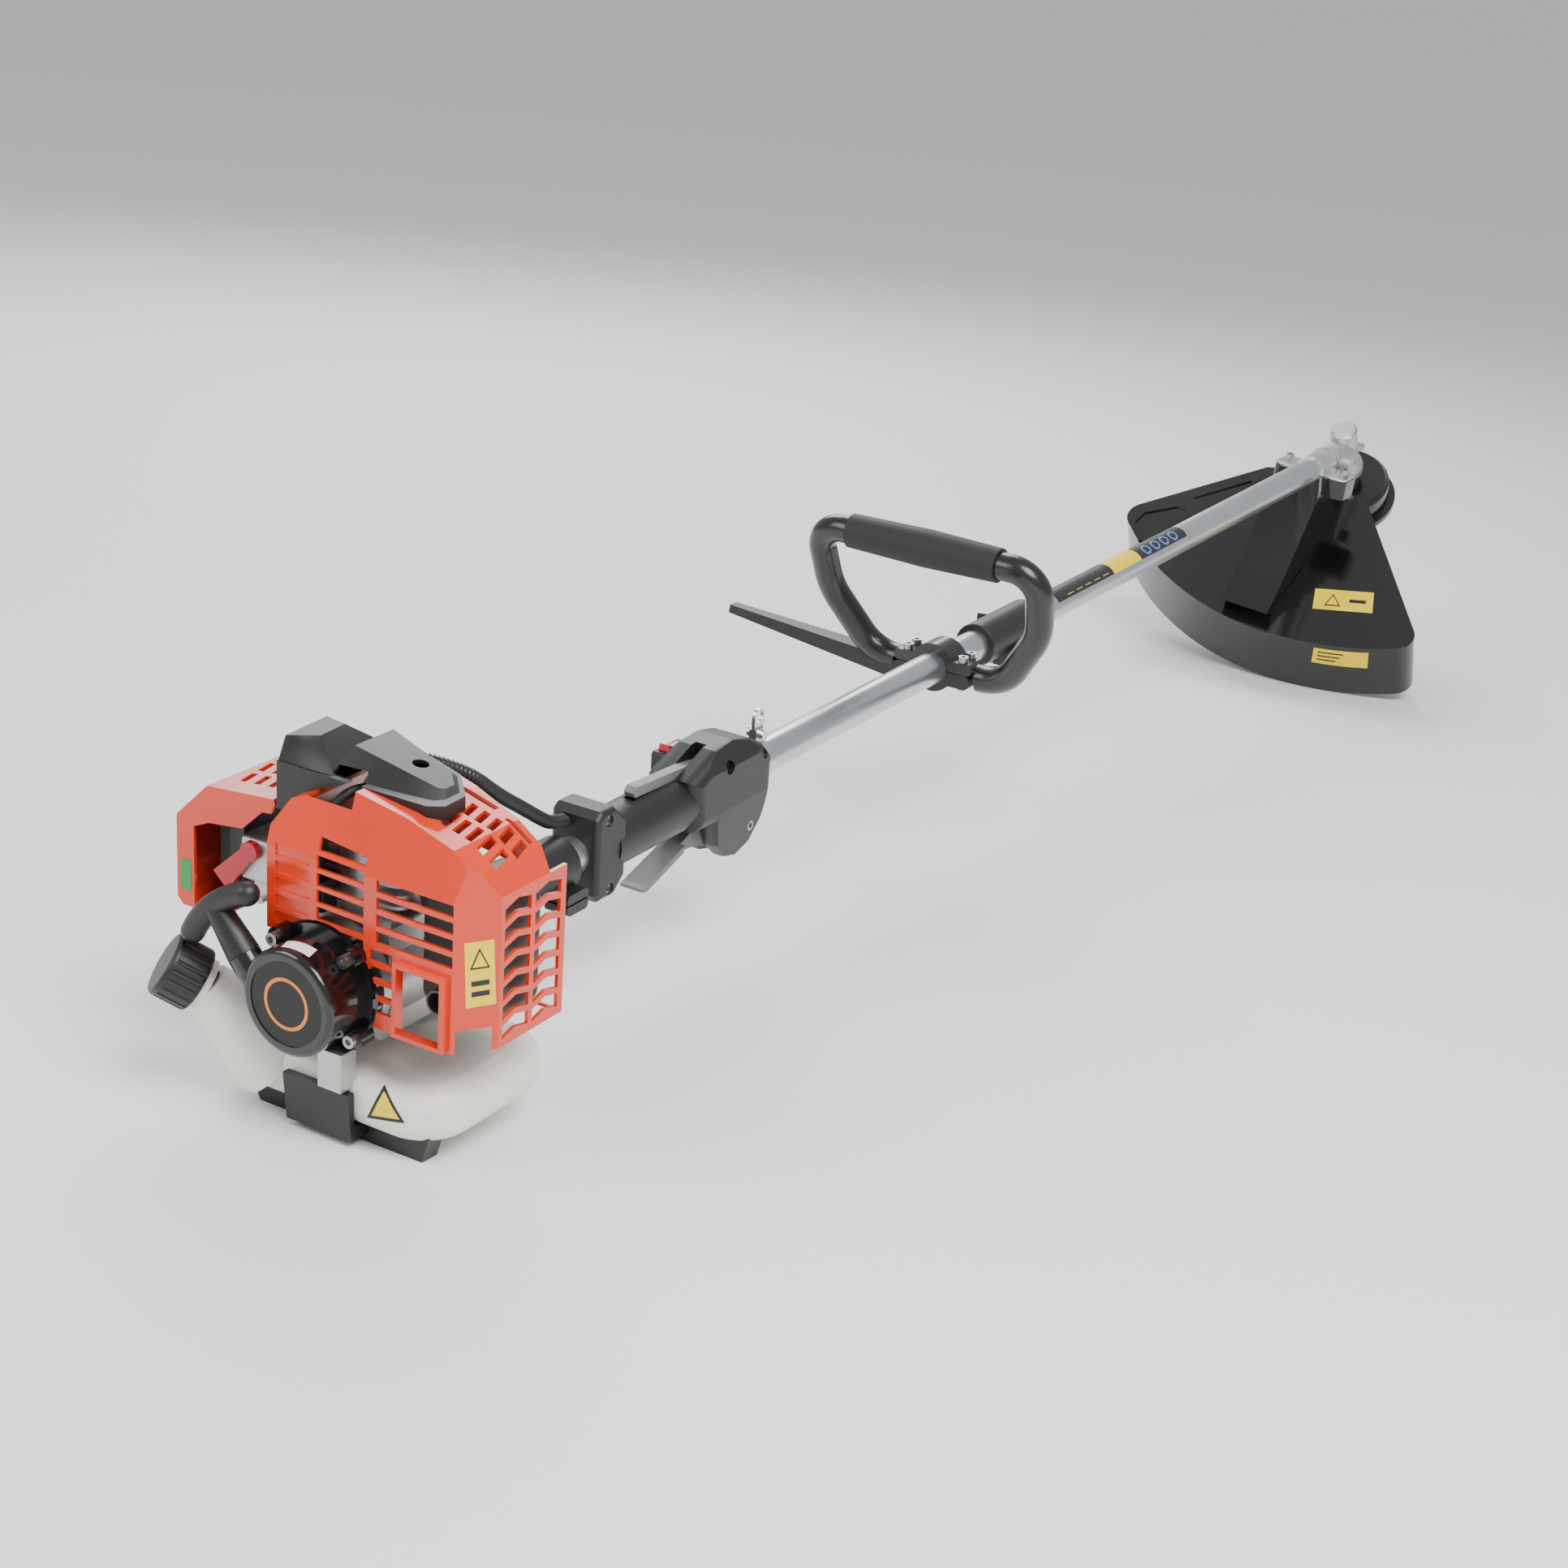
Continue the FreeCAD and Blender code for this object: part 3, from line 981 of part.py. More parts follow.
def make_coupler():
    body = rod_x(COUPLER_R, COUPLER_X0, COUPLER_X1)
    body = rounded(body, 1.5, lambda edge: isinstance(edge.Curve, Part.Circle))
    lug = block(KNOB_X - 19, KNOB_X + 19, -27, 20, KNOB_Z - 7.5, -8)
    body = fused(body, rounded(lug, 4, runs_along(X_DIR)))
    slit = block(COUPLER_X0 - 1, COUPLER_X1 + 1, -1, 1, -40, -TUBE_R + 0.8)
    knob_hole = rod_y(3 + RUNNING, -24, 40, KNOB_X, KNOB_Z)
    holes = [rod_y(SCREW_R, -40, -8, x, KNOB_Z) for x in COUPLER_BOLT_X]
    PARTS["coupler_sleeve"] = body.cut([rod_x(TUBE_R, COUPLER_X0 - 1, COUPLER_X1 + 1), slit, knob_hole] + holes)

    y0 = 20 + GAP
    stud = rod_y(3, -23, y0 + 2, KNOB_X, KNOB_Z)
    hub = rod_y(8, y0, y0 + 9, KNOB_X, KNOB_Z)
    wing = prism_y([(-4, 0), (4, 0), (9, 27), (-2, 30)], y0 + 1, y0 + 7)
    tail = prism_y([(-4, 0), (4, 0), (3, -13), (-3, -13)], y0 + 1, y0 + 7)
    for shape in (wing, tail):
        shape.translate(V(KNOB_X, 0, KNOB_Z))
    PARTS["coupler_knob"] = fused(stud, hub, wing, tail)


KNOB_Z = -TUBE_R - 5.5
COUPLER_BOLT_X = (KNOB_X - 12, KNOB_X + 12)


# ---- gear head -------------------------------------------------------------------------
RATIO = GEAR_TEETH / PINION_TEETH
SHAFT_ANGLE = math.radians(90 - HEAD_TILT)
PINION_CONE = math.atan2(math.sin(SHAFT_ANGLE), RATIO + math.cos(SHAFT_ANGLE))
GEAR_CONE = SHAFT_ANGLE - PINION_CONE
CONE_REACH = PINION_PITCH_R / math.sin(PINION_CONE)
PINION_BEARING_X = TUBE_END + 1.0
UPPER_BEARING_W = -34.0
LOWER_BEARING_W = 10.0


def to_output_axis(shape):
    """Takes a shape built along X from the origin onto the output axis at the head."""
    shape.rotate(V(0, 0, 0), Y_DIR, 90 - HEAD_TILT)
    shape.translate(V(HEAD_X, 0, 0))
    return shape


def rolled(shape):
    shape.rotate(V(0, 0, 0), X_DIR, HEAD_ROLL)
    return shape


def bevel_teeth(count, cone, hub_r, back, phase):
    """A straight bevel gear about X with its apex at the origin, opening towards +X."""
    outer = CONE_REACH
    inner = CONE_REACH - FACE_WIDTH
    pitch = 2 * math.pi / count
    module = 2 * PINION_PITCH_R / PINION_TEETH
    addendum = 0.75 * module
    dedendum = 1.05 * module

    def section(reach):
        scale = reach / outer
        centre_x = reach * math.cos(cone)
        centre_r = reach * math.sin(cone)
        points = []
        for side, height in ((-0.23, -dedendum - 0.5), (-0.115, addendum), (0.115, addendum), (0.23, -dedendum - 0.5)):
            radius = centre_r + height * scale * math.cos(cone)
            x = centre_x - height * scale * math.sin(cone)
            angle = side * pitch
            points.append(V(x, -radius * math.sin(angle), radius * math.cos(angle)))
        return points

    def root(reach):
        scale = reach / outer
        return (reach * math.cos(cone) + dedendum * scale * math.sin(cone),
                reach * math.sin(cone) - dedendum * scale * math.cos(cone))

    small = root(inner)
    large = root(outer)
    body = lathe([(small[0], 0), small, large, (large[0] + back, large[1]), (large[0] + back, 0)])
    tooth = frustum(section(inner), section(outer))
    teeth = []
    for index in range(count):
        copy = tooth.copy()
        copy.rotate(V(0, 0, 0), X_DIR, (index + phase) * 360 / count)
        teeth.append(copy)
    return fused(body, *teeth).cut(rod_x(hub_r, -5, 60))


def make_gears():
    pinion = bevel_teeth(PINION_TEETH, PINION_CONE, 0.5, 4.0, 0.0)
    pinion.rotate(V(0, 0, 0), Z_DIR, 180)
    pinion.translate(V(HEAD_X, 0, 0))
    shaft = rod_x(OUTPUT_R, TUBE_END - 12, HEAD_X - CONE_REACH * math.cos(PINION_CONE) - 1)
    socket = rod_x(DRIVE_R, TUBE_END - 13, DRIVE_END)
    filler = rod_x(0.8, HEAD_X - CONE_REACH * math.cos(PINION_CONE) - 2, HEAD_X - 12.5)
    PARTS["drive_pinion"] = rolled(fused(shaft, pinion, filler).cut(socket))

    meshing = 0.5 if GEAR_TEETH % 2 == 0 else 0.0
    gear = bevel_teeth(GEAR_TEETH, GEAR_CONE, OUTPUT_R, 3.0, meshing)
    gear.rotate(V(0, 0, 0), Z_DIR, 180)
    gear = to_output_axis(gear)
    PARTS["bevel_gear"] = rolled(gear)


ADAPTER_TOP = 25.5


def make_output():
    shaft = rod_x(OUTPUT_R, UPPER_BEARING_W, HEAD_TOP + 12)
    step = rod_x(OUTPUT_R + 1.5, -6, LOWER_BEARING_W - 0.4)
    flange = rod_x(COLLAR_R - 2, ADAPTER_TOP, ADAPTER_TOP + 3)
    hub = rod_x(COLLAR_R - 4, ADAPTER_TOP + 3, HEAD_TOP - SEAM)
    PARTS["output_shaft"] = rolled(to_output_axis(fused(shaft, step, flange, hub)))


def make_gearbox():
    cap_top = UPPER_BEARING_W - 4
    barrel = lathe([(cap_top, 0), (cap_top, 12.5), (cap_top + 2.5, 15.2), (-6, 15.6), (4, 17), (13, COLLAR_R - 1),
                    (17, COLLAR_R), (ADAPTER_TOP - GAP, COLLAR_R), (ADAPTER_TOP - GAP, 0)])
    barrel = to_output_axis(barrel)
    neck = rod_x(TUBE_R + 4.5, SADDLE_X1 + 4, HEAD_X - 2)
    gusset = frustum([V(HEAD_X - 36, -10, 16), V(HEAD_X - 36, 10, 16), V(HEAD_X - 36, 10, -16), V(HEAD_X - 36, -10, -16)],
                     [V(HEAD_X - 4, -8, 24), V(HEAD_X - 4, 8, 24), V(HEAD_X + 4, 8, -18), V(HEAD_X + 4, -8, -18)])
    plug = unit(V(0.93, -0.36, 0.05))
    centre = V(HEAD_X, 0, 4)
    boss = rod(6, centre.add(V(plug).multiply(8)), centre.add(V(plug).multiply(23)))
    screw = rod(4.2, centre.add(V(plug).multiply(22)), centre.add(V(plug).multiply(30)))
    pinch = block(SADDLE_X1 + 8, SADDLE_X1 + 22, -27, -12, -9, 9)
    body = fused(barrel, neck, gusset, boss, screw, rounded(pinch, 3, runs_along(Y_DIR)))
    rooms = [
        rod_x(TUBE_R, SADDLE_X1, TUBE_END + 0.5),
        rod_x(SMALL_BEARING_R, TUBE_END, PINION_BEARING_X + 2 * SMALL_BEARING_WIDTH),
        rod_x(10.6, TUBE_END, HEAD_X - 8),
    ]
    axial = [
        rod_x(SMALL_BEARING_R, UPPER_BEARING_W, UPPER_BEARING_W + SMALL_BEARING_WIDTH),
        rod_x(12.9, UPPER_BEARING_W + SMALL_BEARING_WIDTH, -9),
        rod_x(9, -10, LOWER_BEARING_W + 0.5),
        rod_x(SMALL_BEARING_R, LOWER_BEARING_W, LOWER_BEARING_W + SMALL_BEARING_WIDTH),
        rod_x(OUTPUT_R + 1.5, 5, 40),
    ]
    rooms += [to_output_axis(room) for room in axial]
    PARTS["gearbox_housing"] = rolled(body.cut(rooms))


# ---- guard and its saddle --------------------------------------------------------------
def guard_outline(inset):
    """The fan seen along the output axis: v runs to the left, u back from the axis."""
    right = V(0, -188 + inset, -212 + inset)
    left = V(0, 205 - inset, -152 + inset * 0.3)
    crown = V(0, 12, -math.sqrt((GUARD_R + 3 - inset) ** 2 - 144))
    arc = Part.Arc(right, crown, left).toShape()
    corners = [left, V(0, 84, -24 - inset), V(0, 34, -8 - inset), V(0, 34, -34), V(0, -12, -34),
               V(0, -14, -26 - inset), V(0, -44 + inset, -32 - inset), right]
    edges = [arc]
    for start, end in zip(corners[:-1], corners[1:]):
        edges.append(Part.LineSegment(start, end).toShape())
    return Part.Face(Part.Wire(edges))


def guard_slab(inset, w0, w1):
    face = guard_outline(inset)
    face.translate(V(w0, 0, 0))
    return face.extrude(V(w1 - w0, 0, 0))


def soft_corners(slab, radius):
    def keep(edge):
        return runs_along(X_DIR)(edge) and abs(edge.CenterOfMass.y) > 150
    return rounded(slab, radius, keep)


def plate_pad(points, rise):
    """A raised patch on the plate from (v, u) points, at most as wide as the plate."""
    corners = [V(GUARD_PLATE - rise, v, -u) for v, u in points]
    pad = prism(corners, V(rise + GUARD_WALL / 2, 0, 0))
    return pad.common(soft_corners(guard_slab(0, GUARD_PLATE - rise - 1, GUARD_PLATE + GUARD_WALL), GUARD_CORNER))


GUARD_CORNER = 22.0
PANEL = [(-22, 149), (-32, 131), (-84, 118), (-102, 129), (-190, 240), (-30, 270)]
POCKET = [(188, 168), (184, 146), (149, 118), (134, 120), (128, 132), (158, 190), (176, 192)]
POCKET_FLOOR = [(182, 166), (179, 149), (149, 125), (138, 126), (135, 133), (162, 184), (172, 185)]
RIDGE = [(141, 100), (93, 49), (90, 53), (138, 104)]


def make_guard():
    outer = soft_corners(guard_slab(0, GUARD_PLATE, GUARD_SKIRT), GUARD_CORNER)
    inner = guard_slab(GUARD_WALL, GUARD_PLATE + GUARD_WALL, GUARD_SKIRT + 5)
    inner = soft_corners(inner, GUARD_CORNER - GUARD_WALL)
    pads = [plate_pad(PANEL, 1.5), plate_pad(POCKET, 1.8).cut(plate_pad(POCKET_FLOOR, 1.8)), plate_pad(RIDGE, 1.5)]
    front_cut = prism_x([(-60, 60), (110, 60), (80, -100), (-40, -100)], GUARD_PLATE + GUARD_WALL, GUARD_SKIRT + 5)
    bowl = fused(outer.cut([inner, front_cut]), *pads)
    shell = to_output_axis(bowl)
    hump_side = [(SADDLE_X0 - 2, -3), (SADDLE_X1 + 2, -3), (SADDLE_X1 + 2, -44), (HEAD_X - 29, -62),
                 (HEAD_X - 39, -80), (HEAD_X - 175, -148), (HEAD_X - 203, -140), (HEAD_X - 175, -108)]
    hump = prism_y(hump_side, HUMP_Y[0], HUMP_Y[1])
    ears = block(SADDLE_X0 + 2, SADDLE_X1 - 2, -43, 43, -24, -3)
    ears = rounded(ears, 6, runs_along(Z_DIR))
    hump_room = prism_y([(SADDLE_X0 + 4, -24), (SADDLE_X1 - 3, -24), (SADDLE_X1 - 3, -46), (HEAD_X - 33, -66),
                         (HEAD_X - 45, -100), (HEAD_X - 175, -165), (HEAD_X - 195, -140), (HEAD_X - 169, -110)],
                        HUMP_Y[0] + GUARD_WALL, HUMP_Y[1] - GUARD_WALL)
    plate_under = guard_slab(-40, GUARD_PLATE + GUARD_WALL, GUARD_SKIRT)
    crown = fused(hump, ears).cut(hump_room)
    crown = crown.cut([to_output_axis(plate_under), rod_x(TUBE_R, SADDLE_X0 - 110, HEAD_X - 15),
                       rod_x(TUBE_R + 5, SADDLE_X1 + 3, HEAD_X - 15)])
    around_axis = to_output_axis(rod_x(29, 10, 60))
    opening = prism_y([(SADDLE_X0 + 10, -60), (HEAD_X - 39, -72), (HEAD_X - 51, -100), (HEAD_X - 165, -160),
                       (HEAD_X - 175, -140)], HUMP_Y[0] + GUARD_WALL, HUMP_Y[1] - GUARD_WALL)
    shell = shell.cut(opening)
    guard = fused(crown, shell).cut([around_axis] + saddle_holes())
    guard = max(guard.Solids, key=lambda solid: solid.Volume)
    PARTS["guard"] = rolled(guard)

    band = rod_x(TUBE_R + 2.2, SADDLE_X0, SADDLE_X1).common(block(SADDLE_X0, SADDLE_X1, -40, 40, -3, 40))
    ears = rounded(block(SADDLE_X0 + 2, SADDLE_X1 - 2, -42, 42, -3 + SEAM, -0.6), 7, runs_along(Z_DIR))
    saddle = fused(band, ears).cut([rod_x(TUBE_R, SADDLE_X0 - 5, SADDLE_X1 + 5),
                                    block(SADDLE_X0 - 1, SADDLE_X1 + 1, -50, 50, -5, -3 + SEAM)] + saddle_holes())
    PARTS["guard_bracket"] = rolled(saddle)


HUMP_Y = (-22.0, 34.0)


def saddle_bolt_spots():
    return [((SADDLE_X0 + SADDLE_X1) / 2, y) for y in (-SADDLE_BOLT_Y, SADDLE_BOLT_Y)]


def saddle_holes():
    return [rod_z(SCREW_R, -30, 5, x, y) for x, y in saddle_bolt_spots()]


# ---- trimmer head ----------------------------------------------------------------------
def make_trimmer_head():
    top = HEAD_TOP
    shell = lathe([(top, 0), (top, 47), (top + 6, HEAD_BODY_R), (top + 27, HEAD_BODY_R),
                   (top + 28, HEAD_FLANGE_R), (top + 34, HEAD_FLANGE_R), (top + 34, 0)])
    room = rod_x(HEAD_BODY_R - 4, top + 8, top + 40)
    nut = rod_x(OUTPUT_R, top - 1, HEAD_TOP + 12)
    lines = [rod(2, V(top + 20, -70, 0), V(top + 20, -30, 0)), rod(2, V(top + 20, 70, 0), V(top + 20, 30, 0))]
    PARTS["trimmer_head"] = rolled(to_output_axis(shell.cut([room, nut] + lines)))

    core = lathe([(top + 13.5, 13), (top + 13.5, 44), (top + 15.5, 44), (top + 16, 26), (top + 31, 26),
                  (top + 31.5, 44), (top + 33.5, 44), (top + 33.5, 13)])
    line = ring_x(40, 26 + SEAM, top + 16.5, top + 30.5)
    PARTS["line_spool"] = rolled(to_output_axis(Part.makeCompound([core, line])))

    knob = lathe([(top + 18, 0), (top + 18, 13 - SEAM), (top + 36, 13 - SEAM), (top + 36, 27), (top + 48, 27),
                  (top + 55, 20), (top + 58, 8), (top + 58, 0)])
    PARTS["bump_knob"] = rolled(to_output_axis(knob))


# ---- socket screws ---------------------------------------------------------------------
def socket_screw(head_at, direction, length, head_length=5.0):
    """An M5 screw: head_at is the underside of the head, direction points out of the head."""
    outward = unit(direction)
    tip = head_at.sub(V(outward).multiply(length))
    head_top = head_at.add(V(outward).multiply(head_length))
    shank = rod(SCREW_R - SEAM, tip, head_at)
    head = rod(SCREW_HEAD_R, head_at, head_top)
    socket = rod(2.2, head_top.sub(V(outward).multiply(2.5)), step_from(head_top, outward, 1))
    return fused(shank, head).cut(socket)


def make_screws():
    screws = []
    for y, z in starter_screw_spots():
        screws.append(socket_screw(V(STARTER_LENGTH - 13, y, z), V(-1, 0, 0), 12.5))
    for x, z in HANDLE_SCREWS:
        screws.append(socket_screw(V(x, -14, z), V(0, -1, 0), 26, 5.0))
    for x, y in loop_bolt_spots():
        screws.append(socket_screw(V(x, y, 10 + SEAM), Z_DIR, 26))
    for x in COUPLER_BOLT_X:
        screws.append(socket_screw(V(x, -27 - SEAM, KNOB_Z), V(0, -1, 0), 15))
    for x, y in saddle_bolt_spots():
        screws.append(rolled(socket_screw(V(x, y, -0.6 + SEAM), Z_DIR, 24, 7.0)))
    PARTS["socket_screws"] = Part.makeCompound(screws)


# ---- assembly --------------------------------------------------------------------------
def tip_up(shape):
    shape.rotate(V(0, 0, 0), Y_DIR, -PITCH)
    return shape


def floor_under_guard():
    """Everything below the level of the guard's lowest point, in the machine frame."""
    lowest = tip_up(PARTS["guard"].copy()).BoundBox.ZMin
    floor = block(-400, 2400, -400, 400, lowest - 200, lowest)
    floor.rotate(V(0, 0, 0), Y_DIR, PITCH)
    return floor


def build():
    make_crankcase()
    make_cylinder()
    make_piston_and_rod()
    make_rotor()
    make_muffler()
    make_ignition()
    make_starter()
    make_shroud()
    make_top_cover()
    make_intake()
    make_air_filter()
    make_tank()
    make_clutch()
    make_shaft()
    make_conduit()
    make_handle()
    make_controls()
    make_hanger()
    make_loop()
    make_coupler()
    make_bearings()
    make_gears()
    make_output()
    make_gearbox()
    make_guard()
    make_trimmer_head()
    make_stand(floor_under_guard())
    make_screws()


def export():
    os.makedirs("parts", exist_ok=True)
    whole = Part.makeCompound([tip_up(shape) for shape in PARTS.values()])
    box = whole.BoundBox
    shift = V(-(box.XMin + box.XMax) / 2, -(box.YMin + box.YMax) / 2, -box.ZMin)
    print("shift", round(shift.x, 3), round(shift.y, 3), round(shift.z, 3))
    print("size", round(box.XLength, 1), round(box.YLength, 1), round(box.ZLength, 1))
    for name, shape in PARTS.items():
        shape.translate(shift)
        shape.exportStep("parts/" + name + ".step")
        if not shape.isValid():
            print("INVALID", name)


build()
export()
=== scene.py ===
import math
import bpy
from mathutils import Matrix, Vector
from mathutils.bvhtree import BVHTree
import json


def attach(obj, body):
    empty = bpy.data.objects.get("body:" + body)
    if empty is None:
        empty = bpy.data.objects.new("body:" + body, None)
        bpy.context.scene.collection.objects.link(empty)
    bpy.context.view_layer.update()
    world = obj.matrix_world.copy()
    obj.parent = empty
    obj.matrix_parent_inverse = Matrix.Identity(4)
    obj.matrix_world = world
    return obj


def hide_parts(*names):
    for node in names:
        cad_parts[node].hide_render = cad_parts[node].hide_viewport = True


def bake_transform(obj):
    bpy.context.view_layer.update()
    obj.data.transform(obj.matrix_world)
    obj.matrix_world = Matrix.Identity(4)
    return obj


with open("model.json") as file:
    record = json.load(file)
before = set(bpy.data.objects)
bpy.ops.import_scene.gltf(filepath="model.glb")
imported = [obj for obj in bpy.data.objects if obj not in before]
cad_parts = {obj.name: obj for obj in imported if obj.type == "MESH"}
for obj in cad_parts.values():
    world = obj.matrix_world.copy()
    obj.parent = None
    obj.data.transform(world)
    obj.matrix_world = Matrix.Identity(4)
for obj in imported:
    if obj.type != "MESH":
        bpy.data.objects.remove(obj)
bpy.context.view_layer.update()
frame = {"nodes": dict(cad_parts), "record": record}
nodes = frame["nodes"]

# ---- the machine frame, in millimetres, as part.py models it ---------------------------
ORIGIN = Vector((-0.944221, -0.026528, 0.099939))   # crank axis at the starter's outer face
PITCH = math.radians(4.35)
HEAD_ROLL = math.radians(5)
HEAD_TILT = math.radians(30)
HEAD_X = 1815.0
TIP = Matrix.Rotation(-PITCH, 3, "Y")
ROLL = Matrix.Rotation(HEAD_ROLL, 3, "X")
DOWN = Vector((math.sin(HEAD_TILT), 0, -math.cos(HEAD_TILT)))
BACK = Vector((-math.cos(HEAD_TILT), 0, -math.sin(HEAD_TILT)))


def at(x, y, z):
    """A point of the machine frame in the row frame."""
    return TIP @ Vector((x, y, z)) / 1000 + ORIGIN


def head(w, v, u):
    """A point along, left of and behind the output axis, in the row frame."""
    p = Vector((HEAD_X, 0, 0)) + DOWN * w + Vector((0, v, 0)) + BACK * u
    return TIP @ (ROLL @ p) / 1000 + ORIGIN


# ---- camera ----------------------------------------------------------------------------
SENSOR = 36.0
LENS = 64.7232                                      # millimetres, from the camera fitted to the photo
CLIP_END = 200.0                                    # metres, past the far edge of the floor
CAMERA_PLACE = (-1214.4, -1056.8, 804.6)
CAMERA_RIGHT = Vector((0.52459, -0.84886, 0.06516))
CAMERA_UP = Vector((0.28474, 0.24707, 0.92622))
CAMERA_BACK = Vector((-0.80233, -0.46733, 0.37132))


def make_camera():
    data = bpy.data.cameras.new("camera")
    data.sensor_width = SENSOR
    data.lens = LENS
    data.clip_end = CLIP_END
    camera = bpy.data.objects.new("camera", data)
    bpy.context.scene.collection.objects.link(camera)
    matrix = Matrix((TIP @ CAMERA_RIGHT, TIP @ CAMERA_UP, TIP @ CAMERA_BACK)).transposed().to_4x4()
    matrix.translation = at(*CAMERA_PLACE)
    camera.matrix_world = matrix
    bpy.context.scene.camera = camera


make_camera()


# ---- materials -------------------------------------------------------------------------
PATCH_SCALE = 9.0           # slow drift of colour and gloss, in patches to the metre
GLOSS_SPREAD = 0.08
COAT_ROUGHNESS = 0.08
RELIEF = 0.0006             # metres


def new_material(name):
    material = bpy.data.materials.new(name)
    material.use_nodes = True
    tree = material.node_tree
    return material, tree, tree.nodes["Principled BSDF"]


def add(tree, kind, **inputs):
    node = tree.nodes.new(kind)
    for key, value in inputs.items():
        node.inputs[key].default_value = value
    return node


def rgba(colour, factor=1.0):
    return tuple(min(1.0, c * factor) for c in colour) + (1.0,)


def surface(name, colour, rough, metal=0.0, spread=0.10, grain=900.0, bump=0.06, coat=0.0):
    """A moulded, painted or metal surface: slow colour drift, fine grain and uneven gloss."""
    material, tree, shader = new_material(name)
    links = tree.links
    place = tree.nodes.new("ShaderNodeTexCoord")
    slow = add(tree, "ShaderNodeTexNoise", Scale=PATCH_SCALE, Detail=4.0)
    fine = add(tree, "ShaderNodeTexNoise", Scale=grain, Detail=2.0)
    links.new(place.outputs["Object"], slow.inputs["Vector"])
    links.new(place.outputs["Object"], fine.inputs["Vector"])
    ramp = tree.nodes.new("ShaderNodeValToRGB")
    ramp.color_ramp.elements[0].position = 0.3
    ramp.color_ramp.elements[1].position = 0.7
    ramp.color_ramp.elements[0].color = rgba(colour, 1 - spread)
    ramp.color_ramp.elements[1].color = rgba(colour, 1 + spread)
    links.new(slow.outputs["Fac"], ramp.inputs["Fac"])
    links.new(ramp.outputs["Color"], shader.inputs["Base Color"])
    gloss = tree.nodes.new("ShaderNodeMapRange")
    gloss.inputs["To Min"].default_value = max(0.02, rough - GLOSS_SPREAD)
    gloss.inputs["To Max"].default_value = min(1.0, rough + GLOSS_SPREAD)
    links.new(slow.outputs["Fac"], gloss.inputs["Value"])
    links.new(gloss.outputs["Result"], shader.inputs["Roughness"])
    relief = add(tree, "ShaderNodeBump", Strength=bump, Distance=RELIEF)
    links.new(fine.outputs["Fac"], relief.inputs["Height"])
    links.new(relief.outputs["Normal"], shader.inputs["Normal"])
    shader.inputs["Metallic"].default_value = metal
    shader.inputs["Coat Weight"].default_value = coat
    shader.inputs["Coat Roughness"].default_value = COAT_ROUGHNESS
    return material


MATERIALS = {
    "orange_plastic": surface("orange moulding", (0.72, 0.035, 0.004), 0.27, coat=0.3, spread=0.05,
                              grain=1500, bump=0.03),
    "black_plastic": surface("textured black moulding", (0.010, 0.010, 0.010), 0.40, spread=0.16,
                             grain=2200, bump=0.22),
    "gloss_black": surface("gloss black moulding", (0.006, 0.006, 0.006), 0.14, spread=0.12,
                           grain=700, bump=0.02, coat=0.4),
    "tank_plastic": surface("natural tank plastic", (0.86, 0.84, 0.76), 0.42, spread=0.04,
                            grain=1200, bump=0.05),
    "cast_aluminium": surface("die cast aluminium", (0.58, 0.58, 0.57), 0.42, metal=0.9,
                              spread=0.12, grain=1600, bump=0.3),
    "tube_silver": surface("satin anodised tube", (0.60, 0.62, 0.64), 0.30, metal=0.95,
                           spread=0.04, grain=2500, bump=0.03),
    "loop_black": surface("powder coated tube", (0.007, 0.007, 0.008), 0.26, spread=0.15,
                          grain=1800, bump=0.10, coat=0.3),
    "rubber": surface("black rubber", (0.010, 0.010, 0.010), 0.60, spread=0.15, grain=2600, bump=0.25),
    "grey_plastic": surface("grey moulding", (0.14, 0.145, 0.15), 0.42, spread=0.06, grain=2000, bump=0.12),
    "red_plastic": surface("red moulding", (0.50, 0.002, 0.015), 0.30, spread=0.06, grain=1500,
                           bump=0.05, coat=0.2),
    "zinc": surface("bright zinc plate", (0.72, 0.73, 0.74), 0.24, metal=1.0, spread=0.08,
                    grain=1800, bump=0.08),
    "steel": surface("machined steel", (0.42, 0.42, 0.43), 0.30, metal=1.0, spread=0.12,
                     grain=1500, bump=0.10),
    "heat_steel": surface("heat darkened steel", (0.10, 0.095, 0.09), 0.48, metal=0.6, spread=0.3,
                          grain=900, bump=0.2),
    "foam": surface("filter foam", (0.05, 0.05, 0.05), 0.9, spread=0.3, grain=1800, bump=0.9),
    "cord": surface("braided cord", (0.70, 0.67, 0.60), 0.75, spread=0.2, grain=1400, bump=0.6),
}


def paint_nodes():
    slots = {part["node"]: part["material_slot"] for part in frame["record"]["subparts"]}
    for name, item in nodes.items():
        material = MATERIALS[slots[name]]
        if not item.material_slots:
            item.data.materials.append(material)
        for entry in item.material_slots:
            entry.material = material


paint_nodes()
LABEL_YELLOW = surface("yellow label", (0.95, 0.66, 0.002), 0.35, spread=0.03, bump=0.02)
LABEL_BLACK = surface("black print", (0.012, 0.012, 0.012), 0.4, spread=0.1, bump=0.02)
LABEL_WHITE = surface("white label", (0.85, 0.85, 0.83), 0.4, spread=0.03, bump=0.02)
LABEL_GREEN = surface("green label", (0.03, 0.30, 0.06), 0.4, spread=0.04, bump=0.02)
LABEL_ORANGE = surface("orange print", (0.80, 0.20, 0.02), 0.4, spread=0.04, bump=0.02)
LABEL_BLUE = surface("blue print", (0.10, 0.20, 0.55), 0.4, spread=0.04, bump=0.02)


